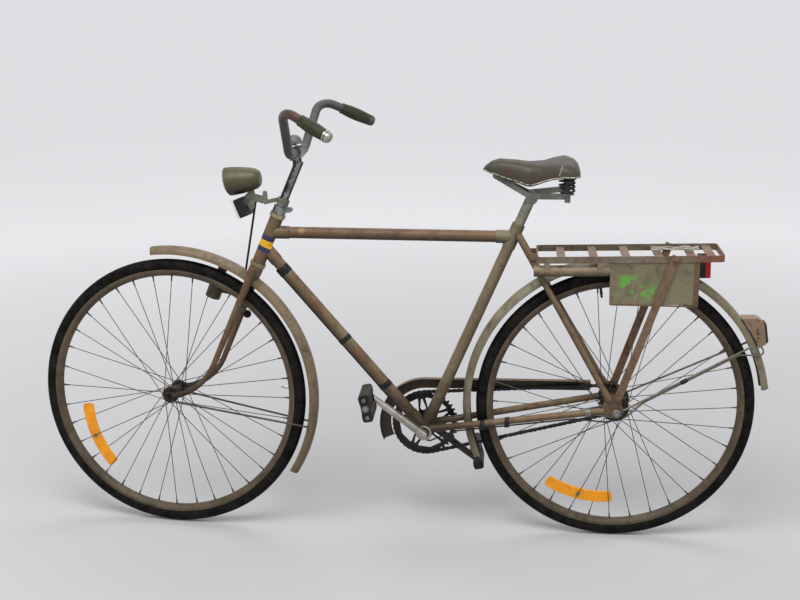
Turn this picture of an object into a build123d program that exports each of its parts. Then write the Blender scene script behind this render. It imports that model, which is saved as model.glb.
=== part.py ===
"""Upright roadster bicycle of the army kind: diamond frame, carrier with tool box, wire wheels.

Units are millimetres. +X is forward, +Y is to the rider's left and +Z is up.
The origin is the middle of the saddle's top. Side-view sizes are given from the rear axle.
"""
import os
from math import acos, asin, atan2, ceil, cos, degrees, hypot, pi, radians, sin, sqrt, tan

from build123d import *

os.makedirs("parts", exist_ok=True)

# Wheels
RIM_RADIUS = 317.0
TYRE_HEIGHT = 26.0
TYRE_WIDTH = 32.0
RIM_WIDTH = 28.0
RIM_DEPTH = 17.0
RIM_CHANNEL_DEPTH = 5.0
RIM_CHANNEL_WIDTH = 21.0
SPOKE_COUNT = 36
SPOKE_RADIUS = 1.0
SPOKE_CROSSINGS = 3
AXLE_RADIUS = 5.0
NUT_RADIUS = 9.0
NUT_HEIGHT = 8.0

# Frame geometry
BRACKET_DROP = 76.0
SEAT_TUBE_GAP = 13.56
TOE_ROOM = 263.0
SEAT_ANGLE = 67.0
HEAD_ANGLE = 67.5
FORK_OFFSET = 76.0
HEAD_TUBE_LENGTH = 124.0
HEAD_TUBE_RADIUS = 16.5
TOP_TUBE_MEETS = 82.6
DOWN_TUBE_MEETS = 42.0
MAIN_TUBE_RADIUS = 14.3
LUG_RADIUS = 16.0
HEAD_SOCKET = 46.0
SEAT_SOCKET = 42.0
BRACKET_SOCKET = 52.0
CHAIN_STAY_RADIUS = 8.5
SEAT_STAY_RADIUS = 7.5
STAY_SOCKET = 44.0
DROPOUT_OUT = 64.5
DROPOUT_THICK = 5.0

# Steering
REST_TURN = -6.4
STEERER_RADIUS = 12.7
STEERER_BORE = 13.2
CROWN_GAP = 4.2
CROWN_HEIGHT = 20.0
BLADE_SPREAD_TOP = 32.0
BLADE_SPREAD_TIP = 50.0
BLADE_TOP_RADIUS = 10.0
BLADE_LOW_RADIUS = 7.0
BLADE_BEND = 95.0
RACE_HEIGHT = 9.5
STEM_RADIUS = 11.0
STEM_RISE = 150.0
BAR_RADIUS = 11.0
GRIP_RADIUS = 15.5
GRIP_LENGTH = 84.0
HEADLAMP_RADIUS = 35.0
HEADLAMP_LENGTH = 84.0
HEADLAMP_TILT = 8.0
HEADLAMP_FACE_LEAN = 6.5

# Mudguards
GUARD_GAP = 33.0
GUARD_HALF_WIDTH = 21.0
GUARD_DEPTH = 19.0
GUARD_THICK = 1.2

# Drive
CHAIN_PITCH = 12.7
CHAINWHEEL_TEETH = 40
SPROCKET_TEETH = 18
CHAIN_LINE = 45.0
CHAIN_HALF_HEIGHT = 4.4
CHAIN_WAIST = 3.3
CHAIN_WIDTH = 8.0
TOOTH_THICK = 2.4
TOOTH_RISE = 2.4
TOOTH_ROOT = 3.6
CRANK_LENGTH = 170.0
CRANK_ANGLE = 39.5
CRANK_ROOT_RADIUS = 10.5
CRANK_EYE_RADIUS = 8.0
CRANK_EYE_OUT = 80.0
SPINDLE_RADIUS = 8.0
PEDAL_LENGTH = 98.0
PEDAL_HEIGHT = 68.0
PEDAL_DEPTH = 26.0
PEDAL_LEAN = 12.0

# Carrier
CARRIER_BACK = 22.5
CARRIER_GAP = 10.0
CARRIER_RISE = 1.7
CARRIER_LENGTH = 442.0
CARRIER_WIDTH = 144.0
RAIL_HEIGHT = 16.0
RAIL_THICK = 3.0
SLAT_WIDTH = 20.0

# Saddle
POST_RISE = 107.2
SADDLE_BACK = 43.6
SADDLE_RISE = 87.35

# Clearances
RUN = 0.4
SEAT = 0.3
FIT = 0.1
SPACER = 1.5

# Sizes that follow: wheels and mudguards, then the frame round them, from the rear axle
TYRE_RADIUS = RIM_RADIUS + TYRE_HEIGHT
GUARD_RADIUS = TYRE_RADIUS + GUARD_GAP
SEAT_LEAN = radians(SEAT_ANGLE)
HEAD_LEAN = radians(HEAD_ANGLE)
SEAT_TUBE_OFF = GUARD_RADIUS + MAIN_TUBE_RADIUS + SEAT_TUBE_GAP
BRACKET_FORWARD = (SEAT_TUBE_OFF + BRACKET_DROP * cos(SEAT_LEAN)) / sin(SEAT_LEAN)
WHEELBASE = BRACKET_FORWARD + GUARD_RADIUS + TOE_ROOM
AXLE_AHEAD = FORK_OFFSET / sin(HEAD_LEAN)
CROWN_REACH = GUARD_RADIUS + CROWN_GAP
CROWN_START = sqrt(CROWN_REACH ** 2 - FORK_OFFSET ** 2) - AXLE_AHEAD * cos(HEAD_LEAN)
HEAD_TUBE_START = CROWN_START + CROWN_HEIGHT + SPACER + RACE_HEIGHT
HEAD_TUBE_END = HEAD_TUBE_START + HEAD_TUBE_LENGTH
STEM_TOP = HEAD_TUBE_END + STEM_RISE
TOP_TUBE_HEIGHT = (HEAD_TUBE_START + TOP_TUBE_MEETS) * sin(HEAD_LEAN)
CLAMP_REACH = (TOP_TUBE_HEIGHT + BRACKET_DROP) / sin(SEAT_LEAN) + POST_RISE
CLAMP_FORWARD = BRACKET_FORWARD - CLAMP_REACH * cos(SEAT_LEAN)
CLAMP_HEIGHT = CLAMP_REACH * sin(SEAT_LEAN) - BRACKET_DROP
CARRIER_HEIGHT = GUARD_RADIUS + CARRIER_GAP

AXLE_X = SADDLE_BACK - CLAMP_FORWARD
AXLE_Z = -SADDLE_RISE - CLAMP_HEIGHT
OUT_LEFT = Vector(0, 1, 0)


def pt(x, z, y=0.0):
    """A point given forward of and above the rear axle, and to the left of the middle."""
    return Vector(AXLE_X + x, y, AXLE_Z + z)


def side(y=0.0):
    """Side-view plane at a distance to the left; its third axis points right."""
    return Plane(origin=pt(0, 0, y), x_dir=(1, 0, 0), z_dir=(0, -1, 0))


def radial(center, angle):
    """Plane through a wheel's axis: first axis left, second axis outwards at an angle above forward."""
    a = radians(angle)
    return Plane(origin=center, x_dir=(0, 1, 0), z_dir=(sin(a), 0, -cos(a)))


def spin(center):
    """A wheel's axis, on which angles grow from forward to up."""
    return Axis(center, (0, -1, 0))


def rod(start, end, radius, mode=Mode.ADD):
    """Adds a round bar between two points to the part that is being built."""
    run = end - start
    with BuildSketch(Plane(origin=start, z_dir=run)) as section:
        Circle(radius)
    extrude(section.sketch, amount=run.length, mode=mode)


def bar(start, end, broad, thick):
    """Adds a flat bar that stands on edge in the side view between two points."""
    run = end - start
    across = Vector(0, 1, 0).cross(run)
    with BuildSketch(Plane(origin=start, x_dir=across, z_dir=run)) as section:
        Rectangle(broad, thick)
    extrude(section.sketch, amount=run.length)


def hull_plate(rounds, y, thick):
    """Adds a plate, from y to the right, around circles given as rows of forward, up and radius."""
    with BuildSketch(side(y)) as outline:
        for forward, up, radius in rounds:
            with Locations((forward, up)):
                Circle(radius)
        make_hull()
    extrude(outline.sketch, amount=thick)


def cross_hole(x, z, radius):
    """Cuts a round hole from side to side."""
    with BuildSketch(side(0)) as hole:
        with Locations((x, z)):
            Circle(radius)
    extrude(hole.sketch, amount=400, both=True, mode=Mode.SUBTRACT)


# Points and axes that several pieces share
REAR = pt(0, 0)
FRONT = pt(WHEELBASE, 0)
BRACKET = pt(BRACKET_FORWARD, -BRACKET_DROP)
HEAD_UP = Vector(-cos(radians(HEAD_ANGLE)), 0, sin(radians(HEAD_ANGLE)))
HEAD_FOOT = pt(WHEELBASE - AXLE_AHEAD, 0)
HEAD_AXIS = Axis(HEAD_FOOT, HEAD_UP)
SEAT_UP = Vector(-cos(radians(SEAT_ANGLE)), 0, sin(radians(SEAT_ANGLE)))


def on_head(distance, y=0.0):
    """A point on the steering axis, at a distance along it from the axle's level."""
    return HEAD_FOOT + HEAD_UP * distance + OUT_LEFT * y


def turned(piece):
    """Turns a steered piece to the angle at which the bicycle is parked."""
    return piece.rotate(HEAD_AXIS, REST_TURN)


SEAT_CLUSTER = BRACKET + SEAT_UP * ((TOP_TUBE_HEIGHT + BRACKET_DROP) / SEAT_UP.Z)
TOP_AT_HEAD = on_head(TOP_TUBE_HEIGHT / HEAD_UP.Z)
DOWN_AT_HEAD = on_head(HEAD_TUBE_START + DOWN_TUBE_MEETS)
TOP_RUN = (SEAT_CLUSTER - TOP_AT_HEAD).normalized()
DOWN_RUN = (BRACKET - DOWN_AT_HEAD).normalized()

# Head tube with the lugs that hold the top tube and the down tube
with BuildPart() as head_tube:
    rod(on_head(HEAD_TUBE_START), on_head(HEAD_TUBE_END), HEAD_TUBE_RADIUS)
    rod(TOP_AT_HEAD, TOP_AT_HEAD + TOP_RUN * HEAD_SOCKET, LUG_RADIUS)
    rod(DOWN_AT_HEAD, DOWN_AT_HEAD + DOWN_RUN * HEAD_SOCKET, LUG_RADIUS)
    rod(on_head(0), on_head(2 * HEAD_TUBE_START), STEERER_BORE, Mode.SUBTRACT)
head_tube.part.label = "head_tube"
export_step(head_tube.part, "parts/head_tube.step")

# Headset races, a stepped ring at each end of the head tube
RACE_PLACES = (HEAD_TUBE_START - RACE_HEIGHT, HEAD_TUBE_END)
RACE_STEP = 3.0
with BuildPart() as headset:
    for place in RACE_PLACES:
        rod(on_head(place), on_head(place + RACE_HEIGHT), HEAD_TUBE_RADIUS + RACE_STEP)
    rod(on_head(0), on_head(2 * HEAD_TUBE_START), STEERER_BORE, Mode.SUBTRACT)
headset.part.label = "headset"
export_step(headset.part, "parts/headset.step")

# Main tubes, each from one lug's end to the next
SEAT_TOP = 34.0
TUBES = (
    # name, first end, second end
    ("top_tube", TOP_AT_HEAD + TOP_RUN * HEAD_SOCKET, SEAT_CLUSTER - TOP_RUN * SEAT_SOCKET),
    ("down_tube", DOWN_AT_HEAD + DOWN_RUN * HEAD_SOCKET, BRACKET - DOWN_RUN * BRACKET_SOCKET),
    ("seat_tube", BRACKET + SEAT_UP * BRACKET_SOCKET, SEAT_CLUSTER - SEAT_UP * SEAT_SOCKET * 0.7),
)
for tube_name, first_end, second_end in TUBES:
    with BuildPart() as main_tube:
        rod(first_end, second_end, MAIN_TUBE_RADIUS)
    main_tube.part.label = tube_name
    export_step(main_tube.part, f"parts/{tube_name}.step")

# Seat lug, with its socket for the top tube
with BuildPart() as seat_lug:
    rod(SEAT_CLUSTER - SEAT_UP * SEAT_SOCKET * 0.7, SEAT_CLUSTER + SEAT_UP * SEAT_TOP, LUG_RADIUS)
    rod(SEAT_CLUSTER, SEAT_CLUSTER - TOP_RUN * SEAT_SOCKET, LUG_RADIUS)
seat_lug.part.label = "seat_lug"
export_step(seat_lug.part, "parts/seat_lug.step")

# Bottom bracket shell with its sockets
SHELL_HALF = 34.0
SHELL_RADIUS = 21.0
CUP_OUT = 38.0
CUP_RADIUS = 18.0
SOCKET_WALL = 1.5
STAY_START_Y = 25.0
STAY_FRONT = BRACKET + Vector(-8, 0, 6)
STAY_END = pt(28, 3)
STAY_END_Y = DROPOUT_OUT - DROPOUT_THICK / 2


def stay_front(sign):
    return STAY_FRONT + OUT_LEFT * (sign * STAY_START_Y)


def stay_run(sign):
    return (STAY_END + OUT_LEFT * (sign * STAY_END_Y) - stay_front(sign)).normalized()


with BuildPart() as bottom_bracket:
    rod(BRACKET - OUT_LEFT * SHELL_HALF, BRACKET + OUT_LEFT * SHELL_HALF, SHELL_RADIUS)
    rod(BRACKET - OUT_LEFT * CUP_OUT, BRACKET + OUT_LEFT * CUP_OUT, CUP_RADIUS)
    rod(BRACKET, BRACKET + SEAT_UP * BRACKET_SOCKET, LUG_RADIUS)
    rod(BRACKET, BRACKET - DOWN_RUN * BRACKET_SOCKET, LUG_RADIUS)
    for sign in (1, -1):
        socket_end = stay_front(sign) + stay_run(sign) * STAY_SOCKET
        rod(stay_front(sign), socket_end, CHAIN_STAY_RADIUS + SOCKET_WALL)
    rod(BRACKET - OUT_LEFT * 100, BRACKET + OUT_LEFT * 100, SPINDLE_RADIUS + RUN, Mode.SUBTRACT)
bottom_bracket.part.label = "bottom_bracket"
export_step(bottom_bracket.part, "parts/bottom_bracket.step")

# Chain stays, each with its dropout plate and the socket for the seat stay
SEAT_STAY_FOOT = pt(18, 30)
SEAT_STAY_TOP = SEAT_CLUSTER + Vector(-10.5, 0, 8.0)
SEAT_STAY_TOP_Y = 15.0
FOOT_SOCKET = 24.0
STRUT_EYE = (-3.0, 37.0)
DROPOUT_ROUNDS = (
    # forward, up, radius
    (0.0, 0.0, 15.0),
    (STRUT_EYE[0], STRUT_EYE[1], 9.0),
    (18.0, 30.0, 9.0),
    (30.0, 3.0, 9.0),
)


def seat_stay_foot(sign):
    return SEAT_STAY_FOOT + OUT_LEFT * (sign * STAY_END_Y)


def seat_stay_run(sign):
    return (SEAT_STAY_TOP + OUT_LEFT * (sign * SEAT_STAY_TOP_Y) - seat_stay_foot(sign)).normalized()


with BuildPart() as chain_stays:
    for sign in (1, -1):
        rod(stay_front(sign) + stay_run(sign) * STAY_SOCKET, STAY_END + OUT_LEFT * (sign * STAY_END_Y),
            CHAIN_STAY_RADIUS)
        hull_plate(DROPOUT_ROUNDS, sign * STAY_END_Y + DROPOUT_THICK / 2, DROPOUT_THICK)
        rod(seat_stay_foot(sign), seat_stay_foot(sign) + seat_stay_run(sign) * FOOT_SOCKET,
            SEAT_STAY_RADIUS + SOCKET_WALL)
    cross_hole(0, 0, AXLE_RADIUS + FIT)
chain_stays.part.label = "chain_stays"
export_step(chain_stays.part, "parts/chain_stays.step")

# Seat stays, trimmed round the seat lug, with the bridge that carries the mudguard
BRIDGE_RADIUS = 6.0


def bridge_place():
    """Distance up the seat stays, in the side view, at which the bridge just clears the mudguard."""
    foot = SEAT_STAY_FOOT - REAR
    rise = (SEAT_STAY_TOP - SEAT_STAY_FOOT).normalized()
    reach = GUARD_RADIUS + SEAT + BRIDGE_RADIUS
    along = foot.X * rise.X + foot.Z * rise.Z
    return -along + sqrt(along ** 2 - foot.X ** 2 - foot.Z ** 2 + reach ** 2)


with BuildPart() as seat_stays:
    for sign in (1, -1):
        rod(seat_stay_foot(sign) + seat_stay_run(sign) * FOOT_SOCKET,
            SEAT_STAY_TOP + OUT_LEFT * (sign * SEAT_STAY_TOP_Y), SEAT_STAY_RADIUS)
    bridge = SEAT_STAY_FOOT + (SEAT_STAY_TOP - SEAT_STAY_FOOT).normalized() * bridge_place()
    stay_share = bridge_place() / (SEAT_STAY_TOP - SEAT_STAY_FOOT).length
    bridge_y = STAY_END_Y + (SEAT_STAY_TOP_Y - STAY_END_Y) * stay_share
    rod(bridge - OUT_LEFT * bridge_y, bridge + OUT_LEFT * bridge_y, BRIDGE_RADIUS)
    rod(BRACKET, SEAT_CLUSTER + SEAT_UP * 100, LUG_RADIUS + SEAT, Mode.SUBTRACT)
seat_stays.part.label = "seat_stays"
export_step(seat_stays.part, "parts/seat_stays.step")

# Seat post, cut round the saddle's clamp
POST_RADIUS = 12.7
CLAMP_RADIUS = 14.0
CLAMP = BRACKET + SEAT_UP * CLAMP_REACH
SADDLE_SIDE = Plane(origin=CLAMP, x_dir=(1, 0, 0), z_dir=(0, -1, 0))
with BuildPart() as seat_post:
    rod(SEAT_CLUSTER + SEAT_UP * SEAT_TOP, CLAMP, POST_RADIUS)
    rod(CLAMP - OUT_LEFT * 60, CLAMP + OUT_LEFT * 60, CLAMP_RADIUS + SEAT, Mode.SUBTRACT)
seat_post.part.label = "seat_post"
export_step(seat_post.part, "parts/seat_post.step")

# Saddle frame: the clamp, two side bars to the nose and to the rear springs, and the spring bolts
SPRING_FOOT = CLAMP + Vector(-83.6, 0, 19.4)
SPRING_Y = 55.0
SPRING_HEIGHT = 38.0
SPRING_RADIUS = 15.0
SPRING_TOP = (SPRING_FOOT - CLAMP).Z + SPRING_HEIGHT + SEAT
BAR_Y = 27.0
NOSE = CLAMP + Vector(89.4, 0, 51.4)
NOSE_BOLT = 5.0
with BuildPart() as saddle_frame:
    rod(CLAMP - OUT_LEFT * (BAR_Y + 3), CLAMP + OUT_LEFT * (BAR_Y + 3), CLAMP_RADIUS)
    for sign in (1, -1):
        hip = CLAMP + Vector(6, sign * BAR_Y, 6)
        bar(hip, NOSE + OUT_LEFT * (sign * 9), 12.0, 5.0)
        bar(hip, SPRING_FOOT + Vector(4, sign * SPRING_Y, -8), 14.0, 6.0)
        rod(SPRING_FOOT + Vector(0, sign * SPRING_Y, -22), SPRING_FOOT + Vector(0, sign * SPRING_Y, -2), 7.0)
        rod(SPRING_FOOT + Vector(0, sign * SPRING_Y, -3), SPRING_FOOT + OUT_LEFT * (sign * SPRING_Y), 16.0)
    rod(NOSE - OUT_LEFT * 12, NOSE + OUT_LEFT * 12, NOSE_BOLT)
saddle_frame.part.label = "saddle_frame"
export_step(saddle_frame.part, "parts/saddle_frame.step")

# Saddle springs, three turns of wire round a core
SPRING_TURNS = 3
WIRE_RADIUS = 2.6
with BuildPart() as saddle_springs:
    for sign in (1, -1):
        foot = SPRING_FOOT + OUT_LEFT * (sign * SPRING_Y)
        rod(foot, foot + Vector(0, 0, SPRING_HEIGHT), SPRING_RADIUS - 2 * WIRE_RADIUS)
        for turn in range(SPRING_TURNS):
            level = (turn + 0.5) * SPRING_HEIGHT / SPRING_TURNS
            rod(foot + Vector(0, 0, level - WIRE_RADIUS), foot + Vector(0, 0, level + WIRE_RADIUS),
                SPRING_RADIUS)
saddle_springs.part.label = "saddle_springs"
export_step(saddle_springs.part, "parts/saddle_springs.step")

# Saddle cover: the side outline cut to the plan outline, hollow beneath its front
SADDLE_REAR = -112.6
SADDLE_NOSE = 117.4
SADDLE_HALF_REAR = 86.0
SADDLE_HALF_NOSE = 22.0
SADDLE_CORNER = 24.0
COVER_WALL = 7.0
NOSE_WALL = (NOSE - CLAMP).X + NOSE_BOLT + SEAT
BELOW = Plane(origin=CLAMP - Vector(0, 0, 20), x_dir=(1, 0, 0), z_dir=(0, 0, 1))


def saddle_plan(inset):
    """Plan outline of the cover, drawn in by an inset."""
    rear = SADDLE_REAR + SADDLE_CORNER + 1.5
    for forward, half in ((rear, SADDLE_HALF_REAR), (rear + 36, SADDLE_HALF_REAR - 7)):
        for sign in (1, -1):
            with Locations((forward, sign * (half - SADDLE_CORNER))):
                Circle(SADDLE_CORNER - inset)
    with Locations((SADDLE_NOSE - SADDLE_HALF_NOSE - 1, 0)):
        Circle(SADDLE_HALF_NOSE - inset)
    make_hull()


with BuildPart() as saddle_hollow:
    with BuildSketch(SADDLE_SIDE):
        with BuildLine():
            Polyline((-54.6, 11), (-54.6, 67), (73.4, 75), (NOSE_WALL, 65), (NOSE_WALL, 11), close=True)
        make_face()
    extrude(amount=2 * SADDLE_HALF_REAR, both=True)
    with BuildSketch(BELOW):
        saddle_plan(COVER_WALL)
    extrude(amount=200, mode=Mode.INTERSECT)

with BuildPart() as saddle_cover:
    with BuildSketch(SADDLE_SIDE):
        with BuildLine():
            top = Spline((SADDLE_NOSE, 65.35), (77.4, 91.35), (-28.6, 85.35), (-77.6, 97.35),
                         (SADDLE_REAR, 73.35))
            Polyline(top @ 1, (SADDLE_REAR + 2, SPRING_TOP), (-64.6, SPRING_TOP), (7.4, 30.35),
                     (103.4, 57.35), top @ 0)
        make_face()
    extrude(amount=2 * SADDLE_HALF_REAR, both=True)
    with BuildSketch(BELOW):
        saddle_plan(0)
    extrude(amount=200, mode=Mode.INTERSECT)
    add(saddle_hollow.part, mode=Mode.SUBTRACT)
saddle_cover.part.label = "saddle_cover"
export_step(saddle_cover.part, "parts/saddle_cover.step")


def guard_section():
    """Closed outline of a mudguard's sheet, crowned, as lateral place and radius."""
    rows = (
        # half width, depth below the crown
        (GUARD_HALF_WIDTH, GUARD_DEPTH),
        (GUARD_HALF_WIDTH - 2.0, 0.5 * GUARD_DEPTH),
        (0.45 * GUARD_HALF_WIDTH, 1.0),
        (0.0, 0.0),
    )
    outer = [(half, GUARD_RADIUS - depth) for half, depth in rows]
    outer += [(-half, GUARD_RADIUS - depth) for half, depth in reversed(rows[:-1])]
    inner = [(half - GUARD_THICK, GUARD_RADIUS - depth) for half, depth in rows[:1]]
    inner += [(half - 0.8 * GUARD_THICK, GUARD_RADIUS - depth - GUARD_THICK) for half, depth in rows[1:-1]]
    inner += [(0.0, GUARD_RADIUS - GUARD_THICK)]
    inner += [(-across, level) for across, level in reversed(inner[:-1])]
    with BuildLine() as outline:
        Polyline(*outer, *reversed(inner), close=True)
    make_face(outline.edges())


MUDGUARDS = (
    # name, wheel centre, first angle, last angle, steered
    ("rear_mudguard", REAR, -22.8, 171.3, False),
    ("front_mudguard", FRONT, 82.0, 211.0, True),
)
for guard_name, center, first, last, steered in MUDGUARDS:
    with BuildPart() as mudguard:
        with BuildSketch(radial(center, first)):
            guard_section()
        revolve(axis=spin(center), revolution_arc=last - first)
    guard = turned(mudguard.part) if steered else mudguard.part
    guard.label = guard_name
    export_step(guard, f"parts/{guard_name}.step")

# Mudguard stays, one each side from the axle to the sheet's edge
STAY_WIRE = 2.5
STAY_LEVEL = GUARD_RADIUS - 0.8 * GUARD_DEPTH
REAR_STAY_ANGLE = 153.0
REAR_STAY_FOOT = (-19.0, 6.0)
MUDGUARD_STAYS = (
    # name, wheel centre, angle, place of the foot, half spread of the foot, steered
    ("rear_mudguard_stays", REAR, REAR_STAY_ANGLE, REAR_STAY_FOOT, DROPOUT_OUT - DROPOUT_THICK / 2, False),
    ("front_mudguard_stays", FRONT, 190.5, (-9.0, -12.0), BLADE_SPREAD_TIP, True),
)
for stays_name, center, angle, foot, spread, steered in MUDGUARD_STAYS:
    edge = center + Vector(cos(radians(angle)), 0, sin(radians(angle))) * STAY_LEVEL
    with BuildPart() as guard_stays:
        for sign in (1, -1):
            rod(center + Vector(foot[0], sign * spread, foot[1]),
                edge + OUT_LEFT * (sign * (GUARD_HALF_WIDTH + STAY_WIRE + SEAT)), STAY_WIRE)
    stays = turned(guard_stays.part) if steered else guard_stays.part
    stays.label = stays_name
    export_step(stays, f"parts/{stays_name}.step")

# Carrier, drawn on its own deck plane: first axis back along the deck, second axis right
STAY_SHARE = (CARRIER_HEIGHT - (SEAT_STAY_FOOT - REAR).Z) / (SEAT_STAY_TOP - SEAT_STAY_FOOT).Z
CARRIER_FRONT = (SEAT_STAY_FOOT + (SEAT_STAY_TOP - SEAT_STAY_FOOT) * STAY_SHARE - REAR).X - CARRIER_BACK
RISE = radians(CARRIER_RISE)
DECK = Plane(origin=pt(CARRIER_FRONT, CARRIER_HEIGHT), x_dir=(-cos(RISE), 0, sin(RISE)),
             z_dir=(sin(RISE), 0, cos(RISE)))
SLAT_DROP = 4.0
SLAT_THICK = 3.0
SLATS = (58.0, 135.0, 212.0, 289.0, 366.0, 412.0)
EAR_BACK = -16.0
EAR_GAP = 2.73
EAR_Y = STAY_END_Y + (SEAT_STAY_TOP_Y - STAY_END_Y) * STAY_SHARE + SEAT_STAY_RADIUS + EAR_GAP
with BuildPart() as carrier:
    with BuildSketch(DECK):
        with Locations((CARRIER_LENGTH / 2, 0)):
            RectangleRounded(CARRIER_LENGTH, CARRIER_WIDTH, 12)
            offset(amount=-RAIL_THICK, mode=Mode.SUBTRACT)
    extrude(amount=-RAIL_HEIGHT)
    with BuildSketch(DECK.offset(-SLAT_DROP)):
        for back in SLATS:
            with Locations((back, 0)):
                Rectangle(SLAT_WIDTH, CARRIER_WIDTH - RAIL_THICK)
    extrude(amount=-SLAT_THICK)
    for sign in (1, -1):
        with BuildSketch(DECK):
            with Locations((EAR_BACK / 2 + 1, sign * (EAR_Y + 1.5))):
                Rectangle(-EAR_BACK + 2, 3)
        extrude(amount=-RAIL_HEIGHT)
carrier.part.label = "carrier"
export_step(carrier.part, "parts/carrier.step")

# Carrier struts, flat bars from the dropouts to the rails
STRUT_BROAD = 19.0
STRUT_THICK = 4.0
STRUT_GAP = 0.7
STRUT_BACK = 325.0
STRUT_DROP = 6.6
STRUT_TOP = DECK.from_local_coords(Vector(STRUT_BACK, 0, -STRUT_DROP))
with BuildPart() as carrier_struts:
    for sign in (1, -1):
        low = pt(STRUT_EYE[0], STRUT_EYE[1], sign * (DROPOUT_OUT + STRUT_GAP + STRUT_THICK / 2))
        high = STRUT_TOP + OUT_LEFT * (sign * (CARRIER_WIDTH / 2 + STRUT_GAP + STRUT_THICK / 2))
        run = (high - low).normalized()
        bar(low - run * 9, high + run * 8, STRUT_BROAD, STRUT_THICK)
carrier_struts.part.label = "carrier_struts"
export_step(carrier_struts.part, "parts/carrier_struts.step")

# Tool box and the tool tube in front of it, under the left rail
BOX_FRONT = 174.0
BOX_LENGTH = 207.0
BOX_HEIGHT = 104.0
BOX_OUT = 69.0
BOX_DEEP = 40.0
BOX_DROP = RAIL_HEIGHT + SEAT
TOOL_TUBE_RADIUS = 13.6
TOOL_TUBE_START = -8.0
TOOL_TUBE_DROP = 7.5
TOOL_TUBE_CLIPS = (24.0, 150.0)
CLIP_LENGTH = 14.0
CLIP_WIDTH = 16.0
with BuildPart() as tool_box:
    with BuildSketch(DECK.offset(-BOX_DROP)):
        with Locations((BOX_FRONT + BOX_LENGTH / 2, -(BOX_OUT - BOX_DEEP / 2))):
            RectangleRounded(BOX_LENGTH, BOX_DEEP, 4)
    extrude(amount=-BOX_HEIGHT)
tool_box.part.label = "tool_box"
export_step(tool_box.part, "parts/tool_box.step")

TUBE_MIDDLE = DECK.offset(-RAIL_HEIGHT - SEAT - TOOL_TUBE_DROP - TOOL_TUBE_RADIUS)
with BuildPart() as tool_tube:
    tube_y = -(BOX_OUT - TOOL_TUBE_RADIUS)
    rod(TUBE_MIDDLE.from_local_coords(Vector(TOOL_TUBE_START, tube_y, 0)),
        TUBE_MIDDLE.from_local_coords(Vector(BOX_FRONT, tube_y, 0)), TOOL_TUBE_RADIUS)
    with BuildSketch(DECK.offset(-RAIL_HEIGHT - SEAT)):
        for back in TOOL_TUBE_CLIPS:
            with Locations((back, -(CARRIER_WIDTH - CLIP_WIDTH) / 2)):
                Rectangle(CLIP_LENGTH, CLIP_WIDTH)
    extrude(amount=-TOOL_TUBE_DROP - TOOL_TUBE_RADIUS)
tool_tube.part.label = "tool_tube"
export_step(tool_tube.part, "parts/tool_tube.step")

# Rear reflector on a neck under the carrier's last slat
TAIL_BACK = 401.5
TAIL_DEPTH = 26.5
TAIL_WIDE = 60.0
TAIL_TALL = 48.0
TAIL_NECK = 18.0
with BuildPart() as rear_reflector:
    with BuildSketch(DECK.offset(-RAIL_HEIGHT)):
        with Locations((TAIL_BACK, 0)):
            RectangleRounded(TAIL_DEPTH, TAIL_WIDE, 3)
    extrude(amount=-TAIL_TALL)
    with BuildSketch(DECK.offset(-SLAT_DROP - SLAT_THICK - SEAT)):
        with Locations((SLATS[-1], 0)):
            Rectangle(TAIL_NECK / 3, TAIL_NECK)
    extrude(amount=-RAIL_HEIGHT)
rear_reflector.part.label = "rear_reflector"
export_step(rear_reflector.part, "parts/rear_reflector.step")

# Rear lamp on the back of the rear mudguard
TAIL_LAMP_ANGLE = 148.0
TAIL_LAMP_HALF = 20.0
TAIL_LAMP_AT = (GUARD_RADIUS * cos(radians(TAIL_LAMP_ANGLE)), GUARD_RADIUS * sin(radians(TAIL_LAMP_ANGLE)))
TAIL_LAMP_OUTLINE = (
    # forward and up of the seat on the mudguard
    (24.0, 33.5),
    (-14.0, 34.5),
    (-24.0, 29.0),
    (-30.0, 24.0),
    (-38.5, -29.0),
    (-33.0, -32.0),
    (-22.0, -40.0),
    (-14.0, -44.5),
)
with BuildPart() as rear_lamp:
    with BuildSketch(side(0)):
        with BuildLine():
            corners = [(TAIL_LAMP_AT[0] + ahead, TAIL_LAMP_AT[1] + up) for ahead, up in TAIL_LAMP_OUTLINE]
            Polyline(*corners, close=True)
        make_face()
    extrude(amount=TAIL_LAMP_HALF, both=True)
    rod(REAR - OUT_LEFT * 40, REAR + OUT_LEFT * 40, GUARD_RADIUS + SEAT, Mode.SUBTRACT)
rear_lamp.part.label = "rear_lamp"
export_step(rear_lamp.part, "parts/rear_lamp.step")

# Chain and toothed wheels
WHEEL_PITCH = CHAIN_PITCH / (2 * sin(pi / CHAINWHEEL_TEETH))
SPROCKET_PITCH = CHAIN_PITCH / (2 * sin(pi / SPROCKET_TEETH))


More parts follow.
